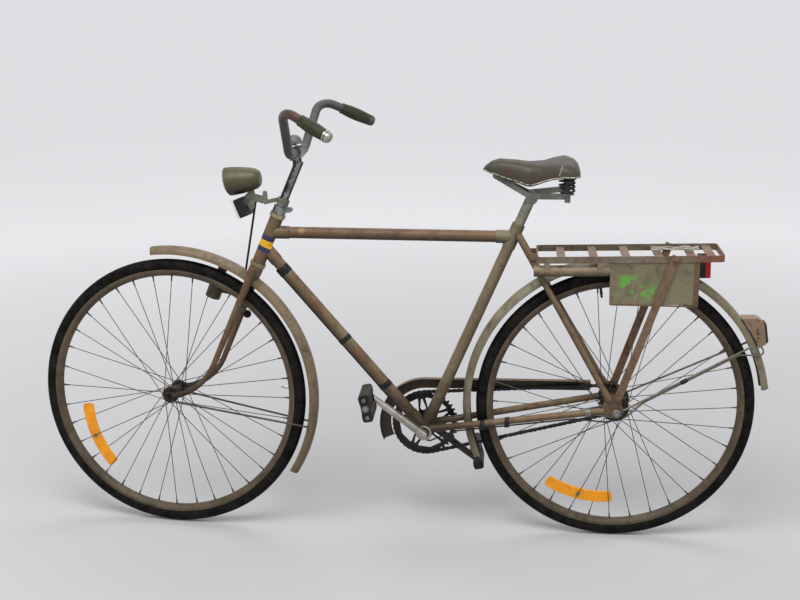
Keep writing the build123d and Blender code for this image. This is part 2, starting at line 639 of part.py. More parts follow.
def chain_loop():
    """Places round the loop, half a pitch apart, each with the angle that points outwards."""
    gain = WHEEL_PITCH - SPROCKET_PITCH
    span = hypot(BRACKET_FORWARD, BRACKET_DROP)
    back = atan2(BRACKET_DROP, -BRACKET_FORWARD)
    lean = acos(gain / span)
    straight = sqrt(span ** 2 - gain ** 2)
    front_arc = (2 * pi - 2 * lean) * WHEEL_PITCH
    rear_arc = 2 * lean * SPROCKET_PITCH
    whole = 2 * straight + front_arc + rear_arc
    steps = 2 * round(whole / CHAIN_PITCH)
    rows = []
    for step in range(steps):
        s = whole * step / steps
        if s < front_arc:
            share = 0.0
            angle = back - lean - s / WHEEL_PITCH
        elif s < front_arc + straight:
            share = (s - front_arc) / straight
            angle = back + lean
        elif s < front_arc + straight + rear_arc:
            share = 1.0
            angle = back + lean - (s - front_arc - straight) / SPROCKET_PITCH
        else:
            share = 1.0 - (s - front_arc - straight - rear_arc) / straight
            angle = back - lean
        radius = WHEEL_PITCH - gain * share
        x = BRACKET_FORWARD * (1 - share) + radius * cos(angle)
        z = -BRACKET_DROP * (1 - share) + radius * sin(angle)
        rows.append((x, z, angle))
    return rows


def chain_edge(way):
    """Outline of the links on the outer (1) or inner (-1) side, waisted between pins."""
    edge = []
    for number, (x, z, angle) in enumerate(chain_loop()):
        reach = way * (CHAIN_HALF_HEIGHT if number % 2 else CHAIN_WAIST)
        edge.append((x + reach * cos(angle), z + reach * sin(angle)))
    return edge


TOOTH_GAP = 1.0
with BuildPart() as chain:
    with BuildSketch(side(-CHAIN_LINE + CHAIN_WIDTH / 2)):
        for way, how in ((1, Mode.ADD), (-1, Mode.SUBTRACT)):
            with BuildLine():
                Polyline(*chain_edge(way), close=True)
            make_face(mode=how)
    extrude(amount=CHAIN_WIDTH)
    for x, z, pitch_radius in ((BRACKET_FORWARD, -BRACKET_DROP, WHEEL_PITCH), (0, 0, SPROCKET_PITCH)):
        with BuildSketch(side(-CHAIN_LINE + TOOTH_THICK / 2 + TOOTH_GAP)):
            with Locations((x, z)):
                Circle(pitch_radius + TOOTH_RISE + 0.6)
        extrude(amount=TOOTH_THICK + 2 * TOOTH_GAP, mode=Mode.SUBTRACT)
chain.part.label = "chain"
export_step(chain.part, "parts/chain.step")


def toothed_disc(x, z, teeth, pitch_radius, start):
    """Adds a toothed disc on the chain line; start turns the first tooth."""
    rows = []
    for tooth in range(teeth):
        for share, reach in ((-0.30, -TOOTH_ROOT), (-0.13, TOOTH_RISE), (0.13, TOOTH_RISE), (0.30, -TOOTH_ROOT)):
            angle = start + 2 * pi * (tooth + share) / teeth
            rows.append((x + (pitch_radius + reach) * cos(angle), z + (pitch_radius + reach) * sin(angle)))
    with BuildSketch(side(-CHAIN_LINE + TOOTH_THICK / 2)) as disc:
        with BuildLine():
            Polyline(*rows, close=True)
        make_face()
    extrude(disc.sketch, amount=TOOTH_THICK)


ARMS = 5
BOSS_RADIUS = 19.0
with BuildPart() as chainwheel:
    toothed_disc(BRACKET_FORWARD, -BRACKET_DROP, CHAINWHEEL_TEETH, WHEEL_PITCH, 0.0)
    with BuildSketch(side(-CHAIN_LINE + TOOTH_THICK)) as openings:
        for arm in range(ARMS):
            middle = 360 * arm / ARMS + 8
            with BuildSketch(mode=Mode.PRIVATE) as drop:
                for reach, radius in ((40.0, 7.0), (61.0, 2.0)):
                    with PolarLocations(reach, 1, middle):
                        Circle(radius)
                make_hull()
            with BuildSketch(mode=Mode.PRIVATE) as bay:
                for reach, swing in ((37.0, 11.5), (37.0, -11.5), (63.0, 24.5), (65.0, 0.0), (63.0, -24.5)):
                    with PolarLocations(reach, 1, middle + 180 / ARMS + swing):
                        Circle(3.0)
                make_hull()
            with Locations((BRACKET_FORWARD, -BRACKET_DROP)):
                add(drop.sketch)
                add(bay.sketch)
    extrude(amount=2 * TOOTH_THICK, mode=Mode.SUBTRACT)
    rod(BRACKET - OUT_LEFT * (CUP_OUT + RUN), BRACKET - OUT_LEFT * (CHAIN_LINE + TOOTH_THICK / 2),
        BOSS_RADIUS)
    rod(BRACKET - OUT_LEFT * 200, BRACKET + OUT_LEFT * 200, SPINDLE_RADIUS + FIT, Mode.SUBTRACT)
chainwheel.part.label = "chainwheel"
export_step(chainwheel.part, "parts/chainwheel.step")

SPROCKET_BOSS = 17.0
SPROCKET_INNER = 37.5
SPROCKET_OUTER = 54.0
with BuildPart() as sprocket:
    toothed_disc(0, 0, SPROCKET_TEETH, SPROCKET_PITCH, 0.0)
    rod(REAR - OUT_LEFT * SPROCKET_INNER, REAR - OUT_LEFT * SPROCKET_OUTER, SPROCKET_BOSS)
    rod(REAR - OUT_LEFT * 200, REAR + OUT_LEFT * 200, AXLE_RADIUS + RUN, Mode.SUBTRACT)
sprocket.part.label = "sprocket"
export_step(sprocket.part, "parts/sprocket.step")

# Chain guard: a hood over the upper run that turns down round the chainwheel's front
HOOD_RADIUS = 117.0
HOOD_BAND = 28.0
HOOD_OUT = 54.4
HOOD_IN = 38.0
HOOD_SHEET = 1.4
HOOD_END = -25.0
HOOD_REAR = (57.0, 46.0)


def hood_outline(inset, drop, past):
    """Outline of the hood, with its outer edge moved in by inset, its inner by drop and its ends past."""
    outer = HOOD_RADIUS - inset
    inner = HOOD_RADIUS - HOOD_BAND - drop
    tip = radians(HOOD_END - past)
    top = -BRACKET_DROP + outer
    low = -BRACKET_DROP + inner
    with BuildLine() as outline:
        Line((HOOD_REAR[0] - past, HOOD_REAR[1] - inset), (BRACKET_FORWARD, top))
        CenterArc((BRACKET_FORWARD, -BRACKET_DROP), outer, 90, HOOD_END - past - 90)
        Line((BRACKET_FORWARD + outer * cos(tip), -BRACKET_DROP + outer * sin(tip)),
             (BRACKET_FORWARD + inner * cos(tip), -BRACKET_DROP + inner * sin(tip)))
        CenterArc((BRACKET_FORWARD, -BRACKET_DROP), inner, HOOD_END - past, 90 - HOOD_END + past)
        Polyline((BRACKET_FORWARD, low), (HOOD_REAR[0] - past, HOOD_REAR[1] - HOOD_BAND - drop),
                 (HOOD_REAR[0] - past, HOOD_REAR[1] - inset))
    make_face(outline.edges())


with BuildPart() as chain_guard:
    with BuildSketch(side(-HOOD_IN)):
        hood_outline(0, 0, 0)
    extrude(amount=HOOD_OUT - HOOD_IN)
    with BuildSketch(side(-HOOD_IN + 1)):
        hood_outline(HOOD_SHEET, 4, 2)
    extrude(amount=HOOD_OUT - HOOD_IN - HOOD_SHEET + 1, mode=Mode.SUBTRACT)
    clip = BRACKET + SEAT_UP * (HOOD_RADIUS / SEAT_UP.Z)
    clip = Vector(clip.X, 0, clip.Z - 3.0)
    rod(clip - OUT_LEFT * (MAIN_TUBE_RADIUS + SEAT), clip - OUT_LEFT * (HOOD_IN + 3), 4.0)
chain_guard.part.label = "chain_guard"
export_step(chain_guard.part, "parts/chain_guard.step")

# Cranks: round tapered bars that lean outwards, with the pedal pins
PEDAL_PIN = 5.0
PIN_PAST = 3.0
PEDAL_INNER = CRANK_EYE_OUT + CRANK_EYE_RADIUS + SPACER
PEDAL_OUTER = PEDAL_INNER + PEDAL_LENGTH
PIN_END = PEDAL_OUTER + PIN_PAST
LEFT_ROOT = CUP_OUT + SPACER + CRANK_ROOT_RADIUS
RIGHT_ROOT = CHAIN_LINE + TOOTH_THICK / 2 + FIT + CRANK_ROOT_RADIUS
SWING = radians(CRANK_ANGLE)


def crank_eye(sign):
    """Middle of a pedal's axis in the side view: forward and up of the rear axle."""
    reach = sign * CRANK_LENGTH
    return (BRACKET_FORWARD + reach * cos(SWING), -BRACKET_DROP + reach * sin(SWING))


with BuildPart() as cranks:
    for sign, root_out in ((1, LEFT_ROOT), (-1, RIGHT_ROOT)):
        eye = pt(*crank_eye(sign))
        root = BRACKET + OUT_LEFT * (sign * root_out)
        tip = eye + OUT_LEFT * (sign * CRANK_EYE_OUT)
        run = (tip - root).normalized()
        with BuildSketch(Plane(origin=root, z_dir=run)):
            Circle(CRANK_ROOT_RADIUS)
        with BuildSketch(Plane(origin=tip, z_dir=run)):
            Circle(CRANK_EYE_RADIUS)
        loft()
        with Locations(root):
            Sphere(CRANK_ROOT_RADIUS)
        with Locations(tip):
            Sphere(CRANK_EYE_RADIUS + SPACER)
        rod(tip, eye + OUT_LEFT * (sign * PIN_END), PEDAL_PIN)
    rod(BRACKET - OUT_LEFT * RIGHT_ROOT, BRACKET + OUT_LEFT * LEFT_ROOT, SPINDLE_RADIUS + FIT,
        Mode.SUBTRACT)
cranks.part.label = "cranks"
export_step(cranks.part, "parts/cranks.step")

with BuildPart() as crank_spindle:
    rod(BRACKET - OUT_LEFT * RIGHT_ROOT, BRACKET + OUT_LEFT * LEFT_ROOT, SPINDLE_RADIUS)
crank_spindle.part.label = "crank_spindle"
export_step(crank_spindle.part, "parts/crank_spindle.step")

# Pedals: a sleeve with two end plates, and the two rubber blocks between them
PLATE_THICK = 3.0
SLEEVE_RADIUS = 9.0
BLOCK_GAP = 0.2
BLOCK_BEVEL = 7.0
for name, sign in (("left", 1), ("right", -1)):
    eye_x, eye_z = crank_eye(sign)
    eye = pt(eye_x, eye_z)
    eye_axis = Axis(eye, (0, -1, 0))
    with BuildPart() as pedal:
        rod(eye + OUT_LEFT * (sign * PEDAL_INNER), eye + OUT_LEFT * (sign * PEDAL_OUTER), SLEEVE_RADIUS)
        for place in (PEDAL_INNER, PEDAL_OUTER - PLATE_THICK):
            face = sign * place if sign < 0 else place + PLATE_THICK
            with BuildSketch(side(face)):
                with Locations((eye_x, eye_z)):
                    RectangleRounded(PEDAL_DEPTH - 4, PEDAL_HEIGHT - 6, BLOCK_BEVEL)
            extrude(amount=PLATE_THICK)
        rod(eye - OUT_LEFT * PIN_END, eye + OUT_LEFT * PIN_END, PEDAL_PIN + RUN, Mode.SUBTRACT)
    pedal_piece = pedal.part.rotate(eye_axis, -PEDAL_LEAN)
    pedal_piece.label = f"pedal_{name}"
    export_step(pedal_piece, f"parts/pedal_{name}.step")
    with BuildPart() as rubbers:
        inner = PEDAL_INNER + PLATE_THICK + FIT
        outer = PEDAL_OUTER - PLATE_THICK - FIT
        block = PEDAL_HEIGHT / 2 - SLEEVE_RADIUS - BLOCK_GAP
        with BuildSketch(side(sign * inner if sign < 0 else outer)):
            for up in (1, -1):
                with Locations((eye_x, eye_z + up * (PEDAL_HEIGHT - block) / 2)):
                    RectangleRounded(PEDAL_DEPTH, block, BLOCK_BEVEL)
        extrude(amount=outer - inner)
    rubbers_piece = rubbers.part.rotate(eye_axis, -PEDAL_LEAN)
    rubbers_piece.label = f"pedal_{name}_rubbers"
    export_step(rubbers_piece, f"parts/pedal_{name}_rubbers.step")

# Rear axle with its nuts outside the dropouts and collars inside
HUB_END = 41.0
with BuildPart() as rear_axle:
    rod(REAR - OUT_LEFT * 80, REAR + OUT_LEFT * 80, AXLE_RADIUS)
    for sign in (1, -1):
        with BuildSketch(side(sign * DROPOUT_OUT if sign < 0 else DROPOUT_OUT + NUT_HEIGHT)):
            RegularPolygon(NUT_RADIUS, 6)
        extrude(amount=NUT_HEIGHT)
    rod(REAR - OUT_LEFT * (SPROCKET_OUTER + RUN), REAR - OUT_LEFT * (DROPOUT_OUT - DROPOUT_THICK), 9.0)
    rod(REAR + OUT_LEFT * (HUB_END + RUN), REAR + OUT_LEFT * (DROPOUT_OUT - DROPOUT_THICK), 9.0)
rear_axle.part.label = "rear_axle"
export_step(rear_axle.part, "parts/rear_axle.step")

# Coaster brake arm with the strap round the left chain stay
ARM_OUT = 49.0
ARM_THICK = 3.0
with BuildPart() as brake_arm:
    strap_mid = stay_front(1) + stay_run(1) * ((STAY_END + OUT_LEFT * STAY_END_Y - stay_front(1)).length - 40)
    rod(strap_mid - stay_run(1) * 7, strap_mid + stay_run(1) * 7, CHAIN_STAY_RADIUS + SEAT + 2.0)
    strap_x = strap_mid.X - AXLE_X
    strap_z = strap_mid.Z - AXLE_Z
    hull_plate(((0, 0, 20.0), (strap_x, strap_z, 8.0)), ARM_OUT, ARM_THICK)
    rod(strap_mid - stay_run(1) * 40, strap_mid + stay_run(1) * 30, CHAIN_STAY_RADIUS + SEAT, Mode.SUBTRACT)
    rod(REAR, REAR + OUT_LEFT * 100, 9.0 + FIT, Mode.SUBTRACT)
brake_arm.part.label = "brake_arm"
export_step(brake_arm.part, "parts/brake_arm.step")


def hub_profile(flange_y, flange_radius, barrel, left_end, right_end, bore):
    """Half section of a hub's shell: lateral place and radius."""
    with BuildLine() as outline:
        Polyline((left_end, bore), (left_end, barrel), (flange_y + 3, barrel), (flange_y + 1.5, flange_radius),
                 (flange_y - 1.5, flange_radius), (flange_y - 3, barrel), (-flange_y + 3, barrel),
                 (-flange_y + 1.5, flange_radius), (-flange_y - 1.5, flange_radius), (-flange_y - 3, barrel),
                 (right_end, barrel), (right_end, bore), close=True)
    make_face(outline.edges())


FRONT_HUB_END = 38.0
WHEELS = (
    # name, centre, flange place, flange radius, barrel radius, left end, right end, reflector angle, lean, steered
    ("front", FRONT, 34.0, 21.0, 13.0, FRONT_HUB_END, -FRONT_HUB_END, -31.0, 8.0, True),
    ("rear", REAR, 28.0, 34.0, 26.0, HUB_END, -36.5, -71.0, -5.5, False),
)
HOLE_INSET = 3.5
REFLECTOR_INSET = 51.0
REFLECTOR_OUT = RIM_RADIUS - REFLECTOR_INSET
REFLECTOR_DEEP = 29.0
REFLECTOR_SWEEP = 39.5
RIM_SPREAD = 3.0
for name, center, flange_y, flange_radius, barrel, left_end, right_end, reflector_at, lean, steered in WHEELS:
    place = turned if steered else (lambda piece: piece)
    with BuildPart() as hub:
        with BuildSketch(radial(center, 90)):
            hub_profile(flange_y, flange_radius, barrel, left_end, right_end, AXLE_RADIUS + RUN)
        revolve(axis=spin(center))
    hub_piece = place(hub.part)
    hub_piece.label = f"{name}_hub"
    export_step(hub_piece, f"parts/{name}_hub.step")

    with BuildPart() as spokes:
        rim_inner = RIM_RADIUS - RIM_DEPTH - SEAT
        for number in range(SPOKE_COUNT):
            rim_angle = radians(360 * number / SPOKE_COUNT)
            flange_side = 1 if number % 2 else -1
            lead = 1 if number % 4 < 2 else -1
            hub_angle = rim_angle - lead * radians(SPOKE_CROSSINGS * 720 / SPOKE_COUNT)
            face = 1.5 + SPOKE_RADIUS + 1.0
            start_y = flange_side * (flange_y + lead * face)
            hub_reach = flange_radius - HOLE_INSET
            start = center + Vector(hub_reach * cos(hub_angle), start_y, hub_reach * sin(hub_angle))
            end_y = flange_side * RIM_SPREAD
            end = center + Vector(rim_inner * cos(rim_angle), end_y, rim_inner * sin(rim_angle))
            with BuildSketch(Plane(origin=start, z_dir=end - start)):
                RegularPolygon(SPOKE_RADIUS, 6)
            extrude(amount=(end - start).length)
    spoke_piece = place(spokes.part)
    spoke_piece.label = f"{name}_spokes"
    export_step(spoke_piece, f"parts/{name}_spokes.step")

    with BuildPart() as rim:
        with BuildSketch(radial(center, 90)):
            with BuildLine():
                half = RIM_WIDTH / 2
                seat = RIM_CHANNEL_WIDTH / 2
                floor = RIM_RADIUS - RIM_CHANNEL_DEPTH
                Polyline((half, RIM_RADIUS), (seat, RIM_RADIUS), (seat, floor), (-seat, floor),
                         (-seat, RIM_RADIUS), (-half, RIM_RADIUS), (-half, RIM_RADIUS - 9),
                         (-7, RIM_RADIUS - RIM_DEPTH), (7, RIM_RADIUS - RIM_DEPTH), (half, RIM_RADIUS - 9),
                         close=True)
            make_face()
        revolve(axis=spin(center))
    rim_piece = place(rim.part)
    rim_piece.label = f"{name}_rim"
    export_step(rim_piece, f"parts/{name}_rim.step")

    with BuildPart() as tyre:
        with BuildSketch(radial(center, 90)):
            with BuildLine():
                half = TYRE_WIDTH / 2
                bead = RIM_CHANNEL_WIDTH / 2 - FIT
                crown = TYRE_RADIUS
                Polyline((bead, RIM_RADIUS - RIM_CHANNEL_DEPTH + FIT), (bead, RIM_RADIUS + 2),
                         (half, crown - half), (0.72 * half, crown - 0.30 * half), (0.32 * half, crown),
                         (-0.32 * half, crown), (-0.72 * half, crown - 0.30 * half), (-half, crown - half),
                         (-bead, RIM_RADIUS + 2), (-bead, RIM_RADIUS - RIM_CHANNEL_DEPTH + FIT), close=True)
            make_face()
        revolve(axis=spin(center))
    tyre_piece = place(tyre.part)
    tyre_piece.label = f"{name}_tyre"
    export_step(tyre_piece, f"parts/{name}_tyre.step")

    sway = REFLECTOR_OUT * sin(radians(REFLECTOR_SWEEP / 2)) * sin(radians(abs(lean)))
    inward = (rim_inner - REFLECTOR_OUT - sway) / (rim_inner - hub_reach)
    reflector_half = RIM_SPREAD + inward * (flange_y - face - RIM_SPREAD) - SPOKE_RADIUS - SEAT
    with BuildPart() as reflector:
        with BuildSketch(radial(center, reflector_at - REFLECTOR_SWEEP / 2)):
            with Locations((0, REFLECTOR_OUT - REFLECTOR_DEEP / 2)):
                Rectangle(2 * reflector_half, REFLECTOR_DEEP)
        revolve(axis=spin(center), revolution_arc=REFLECTOR_SWEEP)
    aim = Vector(cos(radians(reflector_at)), 0, sin(radians(reflector_at)))
    clip_axis = Axis(center + aim * (REFLECTOR_OUT - REFLECTOR_DEEP / 2), (0, -1, 0))
    reflector_piece = place(reflector.part.rotate(clip_axis, lean))
    reflector_piece.label = f"{name}_spoke_reflector"
    export_step(reflector_piece, f"parts/{name}_spoke_reflector.step")

# Fork crown with the steerer
STEERER_TOP = HEAD_TUBE_END + RACE_HEIGHT + 1
with BuildPart() as fork:
    with BuildSketch(Plane(origin=on_head(CROWN_START), x_dir=(0, 1, 0), z_dir=HEAD_UP)):
        Circle(17)
        with Locations((BLADE_SPREAD_TOP, 0), (-BLADE_SPREAD_TOP, 0)):
            Circle(BLADE_TOP_RADIUS + 1.5)
        make_hull()
    extrude(amount=CROWN_HEIGHT)
    rod(on_head(CROWN_START), on_head(STEERER_TOP), STEERER_RADIUS)
fork_piece = turned(fork.part)
fork_piece.label = "fork"
export_step(fork_piece, "parts/fork.step")

# Fork blades, straight and tapered above, bent forward to the tips
TIP_X = WHEELBASE - 11.0
TIP_HALF = 3.0
BEND_SHARE = 0.7
BEND_SPREAD = BLADE_SPREAD_TOP + (BLADE_SPREAD_TIP - BLADE_SPREAD_TOP) * BEND_SHARE
with BuildPart() as fork_blades:
    for sign in (1, -1):
        top = on_head(CROWN_START, sign * BLADE_SPREAD_TOP)
        bend = on_head(BLADE_BEND, sign * BEND_SPREAD)
        tip = pt(TIP_X, 1.5, sign * BLADE_SPREAD_TIP)
        run = (bend - top).normalized()
        with BuildSketch(Plane(origin=top, z_dir=run)):
            Circle(BLADE_TOP_RADIUS)
        with BuildSketch(Plane(origin=bend, z_dir=run)):
            Circle(BLADE_LOW_RADIUS)
        loft()
        with BuildLine():
            TangentArc(bend, tip, tangent=run)
        with BuildSketch(Plane(origin=bend, z_dir=run)):
            Circle(BLADE_LOW_RADIUS)
        sweep()
        tip_rounds = ((WHEELBASE - 14, 2, 8.0), (WHEELBASE, 0, 12.0))
        hull_plate(tip_rounds, sign * BLADE_SPREAD_TIP + TIP_HALF, 2 * TIP_HALF)
    split(bisect_by=Plane(origin=on_head(CROWN_START), z_dir=HEAD_UP), keep=Keep.BOTTOM)
    cross_hole(WHEELBASE, 0, AXLE_RADIUS + FIT)
blades = turned(fork_blades.part)
blades.label = "fork_blades"
export_step(blades, "parts/fork_blades.step")

with BuildPart() as front_axle:
    rod(FRONT - OUT_LEFT * 68, FRONT + OUT_LEFT * 68, AXLE_RADIUS)
    for sign in (1, -1):
        outer = BLADE_SPREAD_TIP + TIP_HALF
        with BuildSketch(side(-outer if sign < 0 else outer + NUT_HEIGHT)):
            with Locations((WHEELBASE, 0)):
                RegularPolygon(NUT_RADIUS, 6)
        extrude(amount=NUT_HEIGHT)
        rod(FRONT + OUT_LEFT * (sign * (FRONT_HUB_END + RUN)),
            FRONT + OUT_LEFT * (sign * (BLADE_SPREAD_TIP - TIP_HALF)), 8.0)
axle_piece = turned(front_axle.part)
axle_piece.label = "front_axle"
export_step(axle_piece, "parts/front_axle.step")

# Stem: a collar with a clamp ear on the steerer, the quill and the clamp round the bar
COLLAR_HEIGHT = 18.0
COLLAR_RADIUS = 17.0
EAR_REACH = 25.0
EAR_HALF = 8.0
CLAMP_WALL = 5.0
CLAMP_HALF = 22.0
STEM_HEAD = on_head(STEM_TOP)
BAR_MIDDLE = STEM_HEAD + Vector(6.5, 0, 20.2)
with BuildPart() as stem:
    rod(on_head(STEERER_TOP), on_head(STEERER_TOP + COLLAR_HEIGHT), COLLAR_RADIUS)
    ear = on_head(STEERER_TOP + COLLAR_HEIGHT / 2)
    ear_x = ear.X - AXLE_X
    ear_z = ear.Z - AXLE_Z
    hull_plate(((ear_x, ear_z, EAR_HALF), (ear_x - EAR_REACH, ear_z, EAR_HALF - 2)), EAR_HALF, 2 * EAR_HALF)
    rod(on_head(STEERER_TOP), on_head(STEM_TOP), STEM_RADIUS)
    rod(on_head(STEM_TOP - 14), BAR_MIDDLE, STEM_RADIUS)
    rod(BAR_MIDDLE - OUT_LEFT * CLAMP_HALF, BAR_MIDDLE + OUT_LEFT * CLAMP_HALF, BAR_RADIUS + CLAMP_WALL)
    rod(BAR_MIDDLE - OUT_LEFT * 60, BAR_MIDDLE + OUT_LEFT * 60, BAR_RADIUS + FIT, Mode.SUBTRACT)
    split(bisect_by=Plane(origin=on_head(STEERER_TOP), z_dir=HEAD_UP), keep=Keep.TOP)
stem_piece = turned(stem.part)
stem_piece.label = "stem"
export_step(stem_piece, "parts/stem.step")

# Handlebar: out from the clamp, up, and back to the grips
BAR_STRAIGHT = 74.0
BAR_BEND = 44.0
GRIP_START = STEM_HEAD + Vector(-57.1, 212.0, 114.4)
GRIP_AIM = Vector(-69.0, 33.0, -32.4).normalized()
BAR_SHOULDER = GRIP_START - GRIP_AIM * 62
with BuildPart() as handlebar:
    for sign in (1, -1):
        points = [BAR_MIDDLE, BAR_MIDDLE + OUT_LEFT * BAR_STRAIGHT, BAR_SHOULDER]
        points += [GRIP_START + GRIP_AIM * (GRIP_LENGTH - 4)]
        points = [Vector(p.X, sign * p.Y, p.Z) for p in points]
        with BuildLine():
            FilletPolyline(*points, radius=BAR_BEND)
        with BuildSketch(Plane(origin=points[0], z_dir=points[1] - points[0])):
            Circle(BAR_RADIUS)
        sweep()
bar_piece = turned(handlebar.part)
bar_piece.label = "handlebar"
export_step(bar_piece, "parts/handlebar.step")

# Grips with a belly, and their metal end caps
with BuildPart() as grips:
    for sign in (1, -1):
        start = Vector(GRIP_START.X, sign * GRIP_START.Y, GRIP_START.Z)
        aim = Vector(GRIP_AIM.X, sign * GRIP_AIM.Y, GRIP_AIM.Z)
        stations = ((0.0, GRIP_RADIUS - 2.5), (0.45 * GRIP_LENGTH, GRIP_RADIUS), (GRIP_LENGTH, GRIP_RADIUS - 2.0))
        for (first, first_radius), (last, last_radius) in zip(stations, stations[1:]):
            with BuildSketch(Plane(origin=start + aim * first, z_dir=aim)):
                Circle(first_radius)
            with BuildSketch(Plane(origin=start + aim * last, z_dir=aim)):
                Circle(last_radius)
            loft()
        rod(start - aim, start + aim * (GRIP_LENGTH + 1), BAR_RADIUS + FIT, Mode.SUBTRACT)
grips_piece = turned(grips.part)
grips_piece.label = "grips"
export_step(grips_piece, "parts/grips.step")

CAP_LENGTH = 9.0
with BuildPart() as grip_caps:
    for sign in (1, -1):
        aim = Vector(GRIP_AIM.X, sign * GRIP_AIM.Y, GRIP_AIM.Z)
        start = Vector(GRIP_START.X, sign * GRIP_START.Y, GRIP_START.Z) + aim * GRIP_LENGTH
        with BuildSketch(Plane(origin=start, z_dir=aim)):
            Circle(GRIP_RADIUS - 2.0)
        with BuildSketch(Plane(origin=start + aim * CAP_LENGTH, z_dir=aim)):
            Circle(GRIP_RADIUS - 7.0)
        loft()
caps_piece = turned(grip_caps.part)
caps_piece.label = "grip_caps"
export_step(caps_piece, "parts/grip_caps.step")

# Bell on the stem's clamp
BELL_RADIUS = 18.5
BELL_FOOT = BAR_MIDDLE + Vector(8, -8, BAR_RADIUS + CLAMP_WALL + SEAT)
BELL_STATIONS = (
    # share of the radius, height
    (1.0, 0.0),
    (1.0, 5.0),
    (0.93, 10.0),
    (0.72, 15.5),
    (0.40, 19.5),
)
with BuildPart() as bell:
    rod(BELL_FOOT, BELL_FOOT + Vector(0, 0, 6), 6.0)
    with BuildSketch(Plane(origin=BELL_FOOT + Vector(0, 0, 5), x_dir=(1, 0, 0), z_dir=(0, -1, 0))):
        with BuildLine():
            Polyline((0, 0), *((share * BELL_RADIUS, up) for share, up in BELL_STATIONS), (0, 21), close=True)
        make_face()
    revolve(axis=Axis(BELL_FOOT, (0, 0, 1)))
bell_piece = turned(bell.part)
bell_piece.label = "bell"
export_step(bell_piece, "parts/bell.step")

# Headlamp: a tapered barrel tilted down, its mouth cut at a lean, with a lens in front
CARRY = on_head(STEERER_TOP + COLLAR_HEIGHT + 13)
LAMP_FRONT = CARRY + Vector(139.4, 0, 44.2)
LAMP_AIM = Vector(cos(radians(HEADLAMP_TILT)), 0, -sin(radians(HEADLAMP_TILT)))
FACE_TILT = radians(HEADLAMP_TILT + HEADLAMP_FACE_LEAN)
FACE_AIM = Vector(cos(FACE_TILT), 0, -sin(FACE_TILT))
LENS_THICK = 3.0
LENS_INSET = 4.0
LAMP_OVER = 6.0
LAMP_STATIONS = (
    # share of the length behind the mouth, share of the radius
    (0.12, 1.0),
    (0.42, 0.93),
    (0.74, 0.80),
    (0.88, 0.70),
    (0.97, 0.54),
    (1.0, 0.34),
)


def lamp_profile(grow):
    """Half section of the lamp's shell: distance back from the mouth's middle and radius."""
    back = []
    for along, across in LAMP_STATIONS:
        back.append((along * HEADLAMP_LENGTH + grow, across * HEADLAMP_RADIUS + grow))
    with BuildLine() as outline:
        Polyline((-LAMP_OVER, 0), (-LAMP_OVER, HEADLAMP_RADIUS + grow), *back, (back[-1][0], 0), close=True)
    make_face(outline.edges())


LAMP_PLANE = Plane(origin=LAMP_FRONT, x_dir=LAMP_AIM * -1, z_dir=(0, -1, 0))
with BuildPart() as headlamp:
    with BuildSketch(LAMP_PLANE):
        lamp_profile(0)
    revolve(axis=Axis(LAMP_FRONT, LAMP_AIM))
    split(bisect_by=Plane(origin=LAMP_FRONT, z_dir=FACE_AIM), keep=Keep.BOTTOM)
headlamp_piece = turned(headlamp.part)
headlamp_piece.label = "headlamp"
export_step(headlamp_piece, "parts/headlamp.step")

with BuildPart() as headlamp_lens:
    rod(LAMP_FRONT, LAMP_FRONT + FACE_AIM * LENS_THICK, HEADLAMP_RADIUS - LENS_INSET)
lens_piece = turned(headlamp_lens.part)
lens_piece.label = "headlamp_lens"
export_step(lens_piece, "parts/headlamp_lens.step")

# Front reflector, tilted, and the bracket that carries it and the lamp from the stem
REFLECTOR_MIDDLE = CARRY + Vector(99.5, 0, -15.6)
REFLECTOR_TILT = radians(23.0)
REFLECTOR_TALL = 47.0
REFLECTOR_BODY = 22.5
REFLECTOR_WIDE = 60.0
REFLECTOR_AIM = Vector(cos(REFLECTOR_TILT), 0, -sin(REFLECTOR_TILT))
REFLECTOR_PLANE = Plane(origin=REFLECTOR_MIDDLE, x_dir=(0, 1, 0), z_dir=REFLECTOR_AIM)
with BuildPart() as front_reflector:
    with BuildSketch(REFLECTOR_PLANE.offset(-REFLECTOR_BODY / 2)):
        RectangleRounded(REFLECTOR_WIDE, REFLECTOR_TALL, 5)
    extrude(amount=REFLECTOR_BODY)
reflector_piece = turned(front_reflector.part)
reflector_piece.label = "front_reflector"
export_step(reflector_piece, "parts/front_reflector.step")

